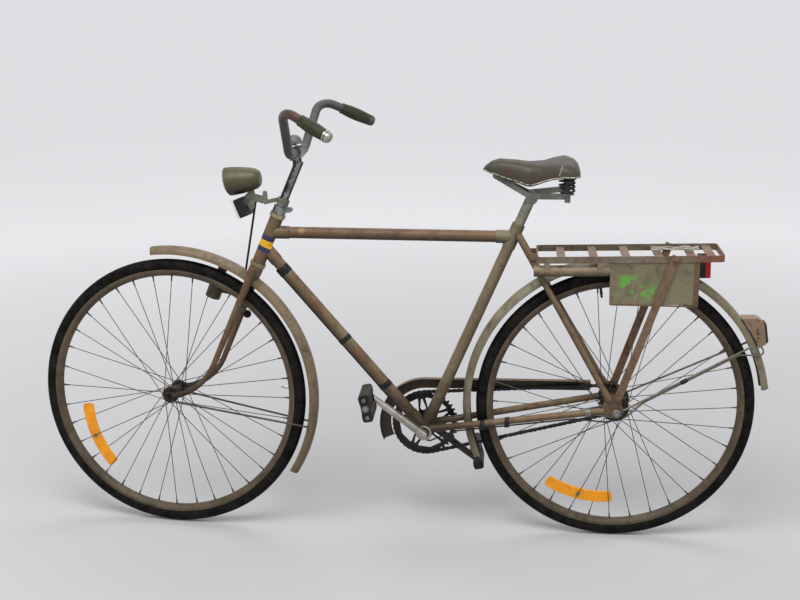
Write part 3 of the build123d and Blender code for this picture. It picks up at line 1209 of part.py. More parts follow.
BRACKET_THICK = 8.0
RING_HALF = 7.5
RING_RADIUS = 15.0
BRACKET_BARS = (
    # two rounded ends, each forward and up of the ring's middle and its radius
    ((0.0, 8.0, 5.0), (44.0, -3.0, 5.0)),
    ((44.0, -3.0, 5.0), (46.0, 20.0, 5.0)),
    ((50.0, 3.0, 9.0), (86.0, 11.0, 8.0)),
    ((78.0, 8.0, 8.0), (84.0, 34.0, 8.0)),
    ((76.0, 6.0, 7.0), (80.0, -16.0, 7.0)),
    ((80.0, -16.0, 7.0), (96.0, -16.0, 7.0)),
)
with BuildPart() as lamp_bracket:
    rod(CARRY - HEAD_UP * RING_HALF, CARRY + HEAD_UP * RING_HALF, RING_RADIUS)
    carry_x = CARRY.X - AXLE_X
    carry_z = CARRY.Z - AXLE_Z
    for bar_ends in BRACKET_BARS:
        rounds = [(carry_x + x, carry_z + z, r) for x, z, r in bar_ends]
        hull_plate(rounds, BRACKET_THICK / 2, BRACKET_THICK)
    rod(on_head(0), on_head(2 * STEM_TOP), STEM_RADIUS + FIT, Mode.SUBTRACT)
    with BuildSketch(LAMP_PLANE):
        lamp_profile(SEAT)
    revolve(axis=Axis(LAMP_FRONT, LAMP_AIM), mode=Mode.SUBTRACT)
    with BuildSketch(REFLECTOR_PLANE.offset(-REFLECTOR_BODY / 2 - SEAT)):
        Rectangle(REFLECTOR_WIDE, 2 * REFLECTOR_TALL)
    extrude(amount=2 * REFLECTOR_BODY, mode=Mode.SUBTRACT)
bracket_piece = turned(lamp_bracket.part)
bracket_piece.label = "lamp_bracket"
export_step(bracket_piece, "parts/lamp_bracket.step")

# Lamp cable, straight down from the bracket to the crown of the front mudguard
CABLE_RADIUS = 2.7
CABLE_TOP = CARRY + Vector(70.0, -BRACKET_THICK / 2 - CABLE_RADIUS - FIT, 4.0)
CABLE_ANGLE = radians(120.4)
CABLE_FOOT = FRONT + Vector(cos(CABLE_ANGLE), 0, sin(CABLE_ANGLE)) * (GUARD_RADIUS - GUARD_THICK)
CABLE_FOOT = CABLE_FOOT + OUT_LEFT * CABLE_TOP.Y
with BuildPart() as lamp_cable:
    rod(CABLE_TOP, CABLE_FOOT, CABLE_RADIUS)
    rod(FRONT - OUT_LEFT * 40, FRONT + OUT_LEFT * 40, GUARD_RADIUS + SEAT, Mode.SUBTRACT)
cable_piece = turned(lamp_cable.part)
cable_piece.label = "lamp_cable"
export_step(cable_piece, "parts/lamp_cable.step")

# Bottle dynamo on the right fork blade, its roller clear of the tyre
DYNAMO_ANGLE = 110.5
DYNAMO_Y = -44.0
DYNAMO_RADIUS = 19.0
DYNAMO_ARM_DOWN = 71.0
DYNAMO_ARM_AT = CROWN_START - DYNAMO_ARM_DOWN
DYNAMO_FOOT = TYRE_RADIUS - 85.0
DYNAMO_TOP = TYRE_RADIUS - 37.0
ROLLER_FOOT = TYRE_RADIUS - 22.0
ROLLER_TOP = TYRE_RADIUS - 3.0
with BuildPart() as dynamo:
    outward = Vector(cos(radians(DYNAMO_ANGLE)), 0, sin(radians(DYNAMO_ANGLE)))
    foot = FRONT + OUT_LEFT * DYNAMO_Y
    rod(foot + outward * DYNAMO_FOOT, foot + outward * DYNAMO_TOP, DYNAMO_RADIUS)
    rod(foot + outward * (DYNAMO_TOP - 1), foot + outward * (ROLLER_FOOT + 1), 9.0)
    rod(foot + outward * ROLLER_FOOT, foot + outward * ROLLER_TOP, 12.0)
    rod(foot + outward * (DYNAMO_FOOT + 22), on_head(DYNAMO_ARM_AT, DYNAMO_Y), 7.0)
    top = on_head(CROWN_START, -BLADE_SPREAD_TOP)
    bend = on_head(BLADE_BEND, -BEND_SPREAD)
    with BuildSketch(Plane(origin=top, z_dir=bend - top)):
        taper = (BLADE_TOP_RADIUS - BLADE_LOW_RADIUS) / (CROWN_START - BLADE_BEND)
        Circle(BLADE_TOP_RADIUS - taper * (CROWN_START - DYNAMO_ARM_AT) + SEAT)
    extrude(amount=(bend - top).length, mode=Mode.SUBTRACT)
dynamo_piece = turned(dynamo.part)
dynamo_piece.label = "dynamo"
export_step(dynamo_piece, "parts/dynamo.step")

# Lamp lead: under the down tube, under the left chain stay and along the left rear mudguard stay
LEAD_RADIUS = 2.0
LEAD_BEND = 12.0
LEAD_HEAD_GAP = 16.0
LEAD_CLEAR = LEAD_RADIUS + SEAT
UNDER_DOWN = Vector(-DOWN_RUN.Z, 0, DOWN_RUN.X)
UNDER_TUBE = UNDER_DOWN * (MAIN_TUBE_RADIUS + LEAD_CLEAR)
UNDER_STAY = Vector(0, 0, -CHAIN_STAY_RADIUS - SOCKET_WALL - LEAD_CLEAR)
STAY_LENGTH = (STAY_END + OUT_LEFT * STAY_END_Y - stay_front(1)).length
LEAD_SIDE = DROPOUT_OUT + LEAD_CLEAR
WIRE_FOOT = REAR + Vector(REAR_STAY_FOOT[0], DROPOUT_OUT - DROPOUT_THICK / 2, REAR_STAY_FOOT[1])
WIRE_AIM = Vector(cos(radians(REAR_STAY_ANGLE)), 0, sin(radians(REAR_STAY_ANGLE)))
WIRE_HEAD = REAR + WIRE_AIM * STAY_LEVEL + OUT_LEFT * (GUARD_HALF_WIDTH + STAY_WIRE + SEAT)
WIRE_RUN = WIRE_HEAD - WIRE_FOOT
UNDER_WIRE = Vector(WIRE_RUN.Z, 0, -WIRE_RUN.X).normalized() * -(STAY_WIRE + LEAD_CLEAR)
LEAD_ROUTE = (
    DOWN_AT_HEAD + DOWN_RUN * (HEAD_SOCKET + LEAD_HEAD_GAP) + UNDER_TUBE,
    BRACKET - DOWN_RUN * (BRACKET_SOCKET + 40) + UNDER_TUBE,
    BRACKET + DOWN_RUN * 4 + UNDER_DOWN * (SHELL_RADIUS + LEAD_CLEAR + 3) + OUT_LEFT * 8,
    BRACKET + Vector(-14, 18, -SHELL_RADIUS - LEAD_CLEAR - 4),
    stay_front(1) + stay_run(1) * 70 + UNDER_STAY,
    stay_front(1) + stay_run(1) * (STAY_LENGTH - 75) + UNDER_STAY,
    pt(24, -24, LEAD_SIDE),
    pt(-24, -9, LEAD_SIDE),
    WIRE_FOOT + WIRE_RUN * 0.15 + UNDER_WIRE,
    WIRE_FOOT + WIRE_RUN * 0.9 + UNDER_WIRE,
    pt(TAIL_LAMP_AT[0] - 39, TAIL_LAMP_AT[1] - 56, GUARD_HALF_WIDTH + LEAD_CLEAR + 1),
    pt(TAIL_LAMP_AT[0] - 28.6, TAIL_LAMP_AT[1] - 37.5, 8),
)
with BuildPart() as lamp_lead:
    with BuildLine():
        FilletPolyline(*LEAD_ROUTE, radius=LEAD_BEND)
    with BuildSketch(Plane(origin=LEAD_ROUTE[0], z_dir=LEAD_ROUTE[1] - LEAD_ROUTE[0])):
        Circle(LEAD_RADIUS)
    sweep()
lamp_lead.part.label = "lamp_lead"
export_step(lamp_lead.part, "parts/lamp_lead.step")
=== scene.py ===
from math import acos, atan2, cos, hypot, pi, radians, sin, sqrt

import bmesh
import bpy
from mathutils import Matrix, Vector


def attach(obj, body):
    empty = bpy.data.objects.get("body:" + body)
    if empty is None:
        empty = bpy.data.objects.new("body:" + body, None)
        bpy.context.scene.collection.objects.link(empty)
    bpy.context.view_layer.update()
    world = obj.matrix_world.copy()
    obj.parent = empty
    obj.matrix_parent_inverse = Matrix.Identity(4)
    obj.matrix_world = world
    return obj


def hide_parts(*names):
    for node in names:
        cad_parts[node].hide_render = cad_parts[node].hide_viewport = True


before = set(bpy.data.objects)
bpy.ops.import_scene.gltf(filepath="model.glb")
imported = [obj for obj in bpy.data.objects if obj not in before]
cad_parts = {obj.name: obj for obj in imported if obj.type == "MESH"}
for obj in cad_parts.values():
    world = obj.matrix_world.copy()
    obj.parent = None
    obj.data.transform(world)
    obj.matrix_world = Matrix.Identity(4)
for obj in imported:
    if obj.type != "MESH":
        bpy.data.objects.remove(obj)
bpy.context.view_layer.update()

# Places, in millimetres forward of and above the rear axle
MM = 0.001
AXLE = Vector((-0.174955, 0.0, -0.606067))
GROUND = -343.0
WHEELBASE = 1110.0
BRACKET = (471.0, -76.0)
HEAD_ANGLE = radians(67.5)
FORK_OFFSET = 76.0
REST_TURN = radians(-6.4)
STEERED = ("steering", "front_wheel")
FORWARD = Vector((1.0, 0.0, 0.0))
LEFT = Vector((0.0, 1.0, 0.0))
UP = Vector((0.0, 0.0, 1.0))


def at(x, z, y=0.0):
    """A point of the part's frame, in metres, from millimetres off the rear axle."""
    return AXLE + Vector((x, y, z)) * MM


REAR_HUB = at(0, 0)
FRONT_HUB = at(WHEELBASE, 0)
CRANK_AXIS = at(*BRACKET)
HEAD_UP = Vector((-cos(HEAD_ANGLE), 0.0, sin(HEAD_ANGLE)))
HEAD_AHEAD = Vector((sin(HEAD_ANGLE), 0.0, cos(HEAD_ANGLE)))
HEAD_FOOT = at(WHEELBASE - FORK_OFFSET / sin(HEAD_ANGLE), 0)
TURN = (Matrix.Translation(HEAD_FOOT) @ Matrix.Rotation(REST_TURN, 4, HEAD_UP)
        @ Matrix.Translation(-HEAD_FOOT))


def on_head(s):
    """A point s millimetres up the steering axis."""
    return HEAD_FOOT + HEAD_UP * (s * MM)


# Node helpers
def put(tree, socket, value):
    """Links a socket, or sets a plain number, vector or colour on it."""
    if isinstance(value, bpy.types.NodeSocket):
        tree.links.new(value, socket)
    elif isinstance(value, (int, float)):
        socket.default_value = value
    else:
        socket.default_value = tuple(value) + (1.0,) * (len(socket.default_value) - len(value))


def add_node(tree, kind, inputs, **settings):
    """Adds a shader node with its settings, and sets or links its inputs."""
    node = tree.nodes.new("ShaderNode" + kind)
    for name, value in settings.items():
        setattr(node, name, value)
    for key, value in inputs.items():
        put(tree, node.inputs[key], value)
    return node


def start(name, metal=0.0, rough=0.5, gloss=0.5):
    mat = bpy.data.materials.new(name)
    mat.use_nodes = True
    tree = mat.node_tree
    shader = tree.nodes["Principled BSDF"]
    for key, value in (("Metallic", metal), ("Roughness", rough), ("Specular IOR Level", gloss)):
        shader.inputs[key].default_value = value
    return mat, tree, shader, add_node(tree, "TexCoord", {}).outputs["Object"]


def coordinates(tree):
    """The outputs of a material's own coordinate node."""
    return next(node for node in tree.nodes if node.bl_idname == "ShaderNodeTexCoord").outputs


def stretched(tree, coords, scale):
    """Coordinates scaled differently along the three axes."""
    return add_node(tree, "Mapping", {"Vector": coords, "Scale": scale}).outputs["Vector"]


def noise(tree, coords, scale, detail=4.0, rough=0.55, distort=0.0):
    inputs = {"Vector": coords, "Scale": scale, "Detail": detail, "Roughness": rough, "Distortion": distort}
    return add_node(tree, "TexNoise", inputs).outputs["Fac"]


def remap(tree, value, low, high, out_low=0.0, out_high=1.0):
    inputs = {"Value": value, "From Min": low, "From Max": high, "To Min": out_low, "To Max": out_high}
    return add_node(tree, "MapRange", inputs).outputs["Result"]


def math(tree, kind, a, b=0.0):
    return add_node(tree, "Math", {0: a, 1: b}, operation=kind).outputs[0]


def vector_math(tree, kind, a, b):
    return add_node(tree, "VectorMath", {0: a, 1: b}, operation=kind).outputs


def part_of(tree, vector, axis):
    return add_node(tree, "SeparateXYZ", {0: vector}).outputs[axis]


def mix(tree, factor, a, b):
    return add_node(tree, "Mix", {0: factor, 6: a, 7: b}, data_type="RGBA").outputs[2]


def layer(tree, shader, colour, *layers):
    """Sets the base colour, with others mixed over it in turn, each where its mask says."""
    for mask, other in layers:
        colour = mix(tree, mask, colour, other)
    put(tree, shader.inputs["Base Color"], colour)


def bump(tree, shader, height, strength, distance):
    node = add_node(tree, "Bump", {"Height": height, "Strength": strength, "Distance": distance})
    tree.links.new(node.outputs["Normal"], shader.inputs["Normal"])


def facing_up(tree):
    """How far a surface faces up, from minus one to one, at rest."""
    return part_of(tree, coordinates(tree)["Normal"], "Z")


# Kinds of material
FRECKLE = (0.14, 0.06, 0.03)
PRISM = 0.004


def worn_paint(name, main, other, rusty=0.6, chips=0.6, scale=1.0, rust=(0.115, 0.046, 0.022), rough=0.48,
               under=0.8, dirty=0.8, gloss=0.3):
    """Brushed-on paint with tone patches, grime, rust chips, pale scuffs, and a darkening on what faces down
    that is painted shade with some dirt.
    """
    mat, tree, shader, co = start(name, gloss=gloss)
    dirt_and_shade = [0.2 * c for c in other]
    pale = [min(1.0, 1.8 * c + 0.02) for c in main]
    patches = remap(tree, noise(tree, co, 9.0 * scale, 6.0, 0.62), 0.38, 0.62)
    spread = noise(tree, co, 19.0 * scale, 8.0, 0.74, 0.3)
    rusted = remap(tree, spread, chips, chips + 0.1, 0.0, rusty)
    grime = remap(tree, noise(tree, co, 46.0 * scale, 7.0, 0.74), 0.48, 0.74, 0.0, dirty)
    scuffs = remap(tree, noise(tree, co, 260.0 * scale, 4.0, 0.62), 0.62, 0.72, 0.0, 0.42)
    # Painted shade, with some dirt: what faces down is darkened towards the dark grime colour.
    low = remap(tree, facing_up(tree), -0.75, 0.45, under, 0.0)
    layer(tree, shader, main, (patches, other), (rusted, rust), (grime, dirt_and_shade), (scuffs, pale), (low, dirt_and_shade))
    dull = remap(tree, spread, 0.3, 0.8, rough - 0.1, rough + 0.14)
    put(tree, shader.inputs["Roughness"], math(tree, "ADD", dull, math(tree, "MULTIPLY", rusted, 0.25)))
    height = math(tree, "SUBTRACT", noise(tree, co, 420.0, 3.0), rusted)
    bump(tree, shader, height, 0.2, 0.0006)
    return mat


def metal(name, main, other, rusty=0.5, chips=0.58, rough=0.42, shine=0.6):
    """Plated or bare steel with cloudy wear and rust freckles."""
    mat, tree, shader, co = start(name, shine)
    cloud = noise(tree, co, 30.0, 6.0, 0.66)
    worn = remap(tree, cloud, 0.35, 0.68)
    rusted = remap(tree, noise(tree, co, 95.0, 6.0, 0.75), chips, chips + 0.08, 0.0, rusty)
    layer(tree, shader, main, (worn, other), (rusted, FRECKLE))
    dull = remap(tree, cloud, 0.3, 0.75, rough - 0.08, rough + 0.16)
    put(tree, shader.inputs["Roughness"], math(tree, "ADD", dull, math(tree, "MULTIPLY", rusted, 0.4)))
    bump(tree, shader, noise(tree, co, 600.0, 3.0), 0.08, 0.0003)
    return mat


def rubber(name, main, dust, dusty=0.35, rough=0.5, grain=500.0, gloss=0.22):
    """Rubber with dust that lies in patches and a fine skin."""
    mat, tree, shader, co = start(name, gloss=gloss)
    film = remap(tree, noise(tree, co, 26.0, 6.0, 0.7), 0.4, 0.78, 0.0, dusty)
    spots = remap(tree, noise(tree, co, 180.0, 4.0, 0.7), 0.55, 0.75, 0.0, dusty * 0.7)
    specks = remap(tree, noise(tree, co, 210.0, 5.0, 0.7), 0.63, 0.71, 0.0, dusty)
    pale = [1.25 * c for c in dust]
    white = [min(1.0, 4.0 * c) for c in dust]
    layer(tree, shader, main, (film, dust), (spots, pale), (specks, white))
    put(tree, shader.inputs["Roughness"], remap(tree, film, 0.0, 0.5, rough, min(1.0, rough + 0.2)))
    bump(tree, shader, noise(tree, co, grain, 3.0), 0.12, 0.0004)
    return mat


def plastic(name, main, facet):
    """Moulded reflector plastic with a grid of small prisms."""
    mat, tree, shader, co = start(name, rough=0.18, gloss=0.35)
    prisms = add_node(tree, "TexVoronoi", {"Vector": co, "Scale": 1.0 / PRISM, "Randomness": 0.0})
    facets = remap(tree, prisms.outputs["Distance"], 0.0, 0.7)
    grime = remap(tree, noise(tree, co, 60.0, 5.0, 0.7), 0.5, 0.75, 0.0, 0.4)
    soiled = [0.4 * c + 0.02 for c in main]
    layer(tree, shader, main, (facets, facet), (grime, soiled))
    bump(tree, shader, facets, 0.3, 0.0008)
    return mat


def vinyl(name):
    """Saddle cover: olive at the top, browner low on the sides, rubbed and finely grained."""
    mat, tree, shader, co = start(name, gloss=0.4)
    low = remap(tree, part_of(tree, co, "Z"), -0.05, 0.004, 1.0, 0.0)
    cloud = noise(tree, co, 24.0, 6.0, 0.66)
    shade = math(tree, "ADD", math(tree, "MULTIPLY", low, 0.7), remap(tree, cloud, 0.3, 0.75, -0.25, 0.45))
    browner = remap(tree, shade, 0.0, 1.0), (0.047, 0.028, 0.017)
    scratch = noise(tree, stretched(tree, co, (0.25, 1.0, 2.0)), 210.0, 6.0, 0.75)
    rubbed = remap(tree, scratch, 0.64, 0.75, 0.0, 0.55), (0.3, 0.29, 0.24)
    layer(tree, shader, (0.05, 0.046, 0.03), browner, rubbed)
    put(tree, shader.inputs["Roughness"], remap(tree, cloud, 0.3, 0.75, 0.38, 0.62))
    grain = add_node(tree, "TexVoronoi", {"Vector": co, "Scale": 620.0}).outputs["Distance"]
    bump(tree, shader, math(tree, "ADD", grain, scratch), 0.18, 0.0005)
    return mat


def edge_trim(name):
    """Pale thread-worn edge that breaks off in places."""
    mat, tree, shader, co = start(name, rough=0.85)
    worn = remap(tree, noise(tree, co, 150.0, 5.0, 0.7), 0.44, 0.56)
    layer(tree, shader, (0.12, 0.105, 0.075), (worn, (0.55, 0.53, 0.46)))
    bump(tree, shader, noise(tree, co, 900.0, 3.0), 0.3, 0.0004)
    return mat


def fluted_glass(name):
    mat, tree, shader, co = start(name, rough=0.08)
    flutes = noise(tree, stretched(tree, co, (1.0, 300.0, 1.0)), 1.0, 0.0)
    layer(tree, shader, (0.72, 0.74, 0.7), (flutes, (0.86, 0.87, 0.84)))
    shader.inputs["Transmission Weight"].default_value = 0.6
    bump(tree, shader, flutes, 0.4, 0.001)
    return mat


# Paints: two tones, then how rusty, the level where chips begin and the scale of the patches
OLIVE = (0.2, 0.156, 0.084)
BROWN = (0.175, 0.095, 0.053)
head_paint = worn_paint("head_tube_paint", OLIVE, BROWN, 0.5)
frame_paint = worn_paint("frame_paint", OLIVE, BROWN, 0.6, 0.58)
seat_paint = worn_paint("seat_tube_paint", (0.255, 0.2, 0.12), (0.2, 0.146, 0.085), 0.45)
lug_paint = worn_paint("lug_paint", (0.225, 0.198, 0.122), (0.19, 0.152, 0.09), 0.4, 0.62)
fork_paint = worn_paint("fork_paint", (0.19, 0.146, 0.076), (0.15, 0.078, 0.043), dirty=0.75)
top_paint = worn_paint("top_tube_paint", (0.195, 0.117, 0.066), (0.15, 0.09, 0.05), 0.5)
guard_paint = worn_paint("guard_paint", (0.27, 0.25, 0.17), (0.175, 0.145, 0.086), 0.5)
front_guard_paint = worn_paint("front_guard_paint", (0.225, 0.158, 0.095), (0.195, 0.152, 0.09), 0.5)
rim_paint = worn_paint("rim_paint", (0.112, 0.083, 0.05), (0.068, 0.05, 0.03), 0.35, scale=1.3, under=0.0)
box_paint = worn_paint("box_paint", (0.225, 0.2, 0.118), (0.2, 0.168, 0.1), 0.6, 0.61, 0.8, under=0.3)
strip_paint = worn_paint("strip_paint", (0.19, 0.122, 0.07), (0.14, 0.084, 0.048), 0.8, 0.54, 1.4)
carrier_paint = worn_paint("carrier_paint", (0.24, 0.196, 0.14), (0.2, 0.14, 0.09), 0.75, 0.54, 1.3)
tube_paint = worn_paint("tool_tube_paint", (0.31, 0.212, 0.138), (0.27, 0.212, 0.138), 0.7, 0.56, 1.3)
strut_paint = worn_paint("strut_paint", (0.27, 0.146, 0.085), (0.22, 0.15, 0.09), 0.8, 0.54, 1.2)
lamp_paint = worn_paint("lamp_paint", (0.1, 0.093, 0.036), (0.08, 0.075, 0.031), 0.15, 0.68,
                        rough=0.4, dirty=0.5, gloss=0.45)
dynamo_paint = worn_paint("dynamo_paint", (0.12, 0.1, 0.055), (0.07, 0.055, 0.032), 0.5, 0.58, 2.0)
rear_lamp_paint = worn_paint("rear_lamp_paint", (0.33, 0.215, 0.135), (0.27, 0.18, 0.11), 0.5, 0.62)
bar_paint = worn_paint("bar_paint", (0.085, 0.092, 0.088), (0.06, 0.065, 0.063), 0.7, 0.64,
                       rust=(0.12, 0.046, 0.027), rough=0.42, under=0.45, gloss=0.45)
white_paint = worn_paint("white_paint", (0.55, 0.53, 0.47), (0.42, 0.39, 0.33), 0.6, 0.58, 3.0)
bracket_paint = worn_paint("bracket_paint", (0.25, 0.24, 0.2), (0.17, 0.15, 0.115), 0.6, 0.58, 1.8)
guard_black = worn_paint("guard_black", (0.075, 0.052, 0.034), (0.035, 0.026, 0.019), 0.75, 0.55, 1.6,
                         rust=(0.15, 0.08, 0.042))

# Metals
post_steel = metal("post_steel", (0.3, 0.295, 0.23), (0.16, 0.15, 0.108), chips=0.6, rough=0.34, shine=0.7)
stem_chrome = metal("stem_chrome", (0.3, 0.31, 0.31), (0.045, 0.045, 0.045), 0.35, 0.62, 0.24, 0.9)
chrome = metal("dull_chrome", (0.46, 0.44, 0.4), (0.22, 0.2, 0.17), chips=0.6, rough=0.28, shine=0.9)
bright = metal("bright_cap", (0.62, 0.59, 0.53), (0.3, 0.27, 0.22), 0.4, 0.62, 0.2, 0.9)
bell_steel = metal("bell_steel", (0.2, 0.205, 0.2), (0.11, 0.11, 0.1), shine=0.7)
# Near-black hubs: their own dark grease, darkened further as painted shade in the middle of the wheels.
hub_steel = metal("hub_steel", (0.03, 0.023, 0.016), (0.012, 0.0095, 0.007), 0.6, 0.56, 0.45)
wire = metal("spoke_wire", (0.085, 0.076, 0.06), (0.045, 0.038, 0.028), 0.6, 0.56)
stay_steel = metal("stay_steel", (0.19, 0.175, 0.135), (0.1, 0.085, 0.06), 0.6, 0.56, 0.45, 0.5)
dark_stay = metal("dark_stay", (0.09, 0.07, 0.046), (0.05, 0.038, 0.026), 0.6, 0.56, 0.5, 0.4)
grey_steel = metal("grey_steel", (0.2, 0.205, 0.185), (0.11, 0.105, 0.09))
black_steel = metal("black_steel", (0.02, 0.018, 0.015), (0.008, 0.0075, 0.007), chips=0.6, shine=0.5)
brass = metal("brass_ring", (0.34, 0.285, 0.16), (0.2, 0.16, 0.088), rough=0.5, shine=0.3)

# Rubber, plastic, vinyl and glass
grip_rubber = rubber("grip_rubber", (0.024, 0.03, 0.014), (0.085, 0.09, 0.05))
black_rubber = rubber("black_rubber", (0.005, 0.005, 0.005), (0.06, 0.053, 0.042), grain=700.0)
tyre_rubber = rubber("tyre_rubber", (0.0035, 0.0035, 0.0035), (0.085, 0.076, 0.066), 0.24, 0.62, 900.0, 0.06)
lead_rubber = rubber("lead_sheath", (0.1, 0.095, 0.075), (0.16, 0.14, 0.105), 0.5)
tape = rubber("black_tape", (0.008, 0.008, 0.009), (0.05, 0.048, 0.044), 0.3, 0.45, 350.0)
dark_plastic = rubber("dark_plastic", (0.012, 0.011, 0.01), (0.045, 0.04, 0.034), 0.25, 0.4, 900.0)
dull_red = rubber("dull_red_stud", (0.12, 0.03, 0.018), (0.16, 0.07, 0.045), 0.4)
clear_plastic = plastic("clear_plastic", (0.5, 0.5, 0.48), (0.75, 0.75, 0.73))
amber_plastic = plastic("amber_plastic", (0.78, 0.22, 0.004), (0.98, 0.4, 0.01))
saddle_vinyl = vinyl("saddle_vinyl")
worn_edge = edge_trim("worn_edge")
lens_glass = fluted_glass("lamp_glass")


# Local tones: masks in the object's own coordinates, and colours mixed over a finished material
def tone(mat, colour, strength, mask, *where):
    """Mixes a colour over a material, as far as mask(tree, *where) says."""
    tree = mat.node_tree
    base = tree.nodes["Principled BSDF"].inputs["Base Color"]
    share = math(tree, "MULTIPLY", mask(tree, *where), strength)
    tree.links.new(mix(tree, share, base.links[0].from_socket, colour), base)


def ragged(tree, scale, amount):
    """A small shift either way that breaks up an edge."""
    shift = math(tree, "SUBTRACT", noise(tree, coordinates(tree)["Object"], scale, 5.0, 0.7), 0.5)
    return math(tree, "MULTIPLY", shift, amount)


def ramps(tree, *rows):
    """The product of ramps along axes, each from nothing at its low end to one at its high end."""
    mask = 1.0
    for axis, low, high in rows:
        ramp = remap(tree, part_of(tree, coordinates(tree)["Object"], axis), low, high)
        mask = math(tree, "MULTIPLY", mask, ramp)
    return mask


def near(tree, spot, inner, outer):
    """One close to a spot, fading to nothing at the outer distance, with a ragged edge."""
    distance = vector_math(tree, "DISTANCE", coordinates(tree)["Object"], spot)["Value"]
    distance = math(tree, "ADD", distance, ragged(tree, 90.0, (outer - inner) * 1.6))
    return remap(tree, distance, inner, outer, 1.0, 0.0)


def shaded_inner_face(tree, center):
    """One where a curved sheet faces its wheel's centre, the side given painted shade."""
    radial = vector_math(tree, "SUBTRACT", coordinates(tree)["Object"], center)["Vector"]
    facing = vector_math(tree, "DOT_PRODUCT", radial, coordinates(tree)["Normal"])["Value"]
    return remap(tree, facing, -0.03, 0.0, 1.0, 0.0)


def blotch(tree, x0, x1, z0, z1):
    """Ragged patches inside a box with soft sides, along x and z."""
    soft = 0.012
    patches = remap(tree, noise(tree, coordinates(tree)["Object"], 40.0, 5.0, 0.65), 0.5, 0.55)
    box = ramps(tree, ("X", x0, x0 + soft), ("X", x1, x1 - soft), ("Z", z0, z0 + soft), ("Z", z1, z1 - soft))
    return math(tree, "MULTIPLY", patches, box)


def top_edge(tree):
    return remap(tree, facing_up(tree), 0.55, 0.9)


def reflection_streaks(tree, foot):
    """Long dark and light streaks round a plated post, above the height of its foot: a painted reflection,
    set by the way the surface faces.
    """
    turn = vector_math(tree, "DOT_PRODUCT", coordinates(tree)["Normal"], (0.8, 0.6, 0.0))["Value"]
    wander = math(tree, "MULTIPLY", noise(tree, coordinates(tree)["Object"], 55.0, 6.0, 0.75), 1.3)
    wave = math(tree, "SINE", math(tree, "MULTIPLY", math(tree, "ADD", turn, wander), 4.6))
    return math(tree, "MULTIPLY", remap(tree, wave, -0.1, 0.5), ramps(tree, ("Z", foot, foot + 0.004)))


def head_stripe(tree, low, high):
    """A chipped stripe round the head tube, clear of its lugs, between two heights on the steering axis."""
    def along(direction):
        reach = vector_math(tree, "DOT_PRODUCT", coordinates(tree)["Object"], direction)["Value"]
        return math(tree, "SUBTRACT", reach, HEAD_FOOT.dot(direction))

    level = math(tree, "ADD", along(HEAD_UP), ragged(tree, 130.0, 0.004))
    limits = (("GREATER_THAN", level, low * MM), ("LESS_THAN", level, high * MM),
              ("GREATER_THAN", along(HEAD_AHEAD), -0.0167))
    mask = remap(tree, noise(tree, coordinates(tree)["Object"], 160.0, 5.0, 0.7), 0.34, 0.4)
    for kind, value, limit in limits:
        mask = math(tree, "MULTIPLY", mask, math(tree, kind, value, limit))
    return mask


COLLAR = on_head(541.0).z
SHADED_RIGHT_SIDE = ("Y", 0.0, -0.01)
DECK_HALF = 0.066
RED_FACE = AXLE.x - 0.2
tone(head_paint, (0.022, 0.027, 0.075), 1.0, head_stripe, 405.0, 447.0)
tone(head_paint, (0.78, 0.4, 0.012), 1.0, head_stripe, 417.0, 434.0)
# Painted shade: the mudguards' inner faces, shaded by the tyres, are made near black.
tone(guard_paint, (0.008, 0.008, 0.007), 1.0, shaded_inner_face, REAR_HUB)
tone(front_guard_paint, (0.012, 0.01, 0.009), 1.0, shaded_inner_face, TURN @ FRONT_HUB)
tone(fork_paint, (0.018, 0.012, 0.008), 0.9, near, TURN @ FRONT_HUB, 0.065, 0.15)
tone(frame_paint, (0.05, 0.036, 0.024), 0.3, near, REAR_HUB, 0.03, 0.09)
tone(frame_paint, (0.022, 0.014, 0.008), 0.8, near, CRANK_AXIS, 0.05, 0.19)
tone(seat_paint, (0.035, 0.022, 0.013), 0.75, near, CRANK_AXIS, 0.05, 0.22)
tone(strut_paint, (0.09, 0.052, 0.03), 0.4, near, at(0, 10), 0.08, 0.19)
tone(carrier_paint, (0.19, 0.105, 0.068), 0.7, ramps,
     ("Y", DECK_HALF, DECK_HALF - 0.006), ("Y", -DECK_HALF, -DECK_HALF + 0.006))
tone(carrier_paint, (0.2, 0.06, 0.034), 0.8, near, at(-238, 392, 68), 0.02, 0.09)
tone(lead_rubber, (0.02, 0.018, 0.015), 0.85, ramps, ("X", AXLE.x - 0.05, AXLE.x - 0.02))
tone(top_paint, (0.5, 0.29, 0.13), 0.75, near, at(777, 431, 14), 0.003, 0.013)
tone(black_rubber, (0.075, 0.052, 0.036), 0.5, near, at(BRACKET[0] + 131, BRACKET[1] + 108, 150), 0.03, 0.07)
tone(bar_paint, (0.066, 0.023, 0.012), 0.95, near, TURN @ at(741, 720, 205), 0.018, 0.042)
tone(box_paint, (0.085, 0.4, 0.035), 0.75, blotch,
     AXLE.x - 0.085, AXLE.x + 0.018, AXLE.z + 0.285, AXLE.z + 0.35)
tone(guard_black, (0.17, 0.1, 0.056), 0.85, top_edge)
tone(dark_plastic, (0.42, 0.012, 0.012), 1.0, ramps,
     ("X", RED_FACE, RED_FACE - 0.002), ("Z", AXLE.z + 0.32, AXLE.z + 0.33))
# Painted shade: the right sides of the plated parts and of the grip caps, the far side in shadow, are
# darkened.
tone(chrome, (0.02, 0.017, 0.014), 0.92, ramps, SHADED_RIGHT_SIDE)
tone(bright, (0.09, 0.09, 0.088), 0.85, ramps, SHADED_RIGHT_SIDE)
# Painted reflection: dark and light streaks round the plated stem and seat post.
tone(stem_chrome, (0.018, 0.018, 0.018), 0.9, reflection_streaks, COLLAR)
tone(post_steel, (0.07, 0.066, 0.05), 0.5, reflection_streaks, COLLAR)


# Mesh helpers
def circle(count):
    """The angles of a full turn in equal steps."""
    return [2 * pi * k / count for k in range(count)]


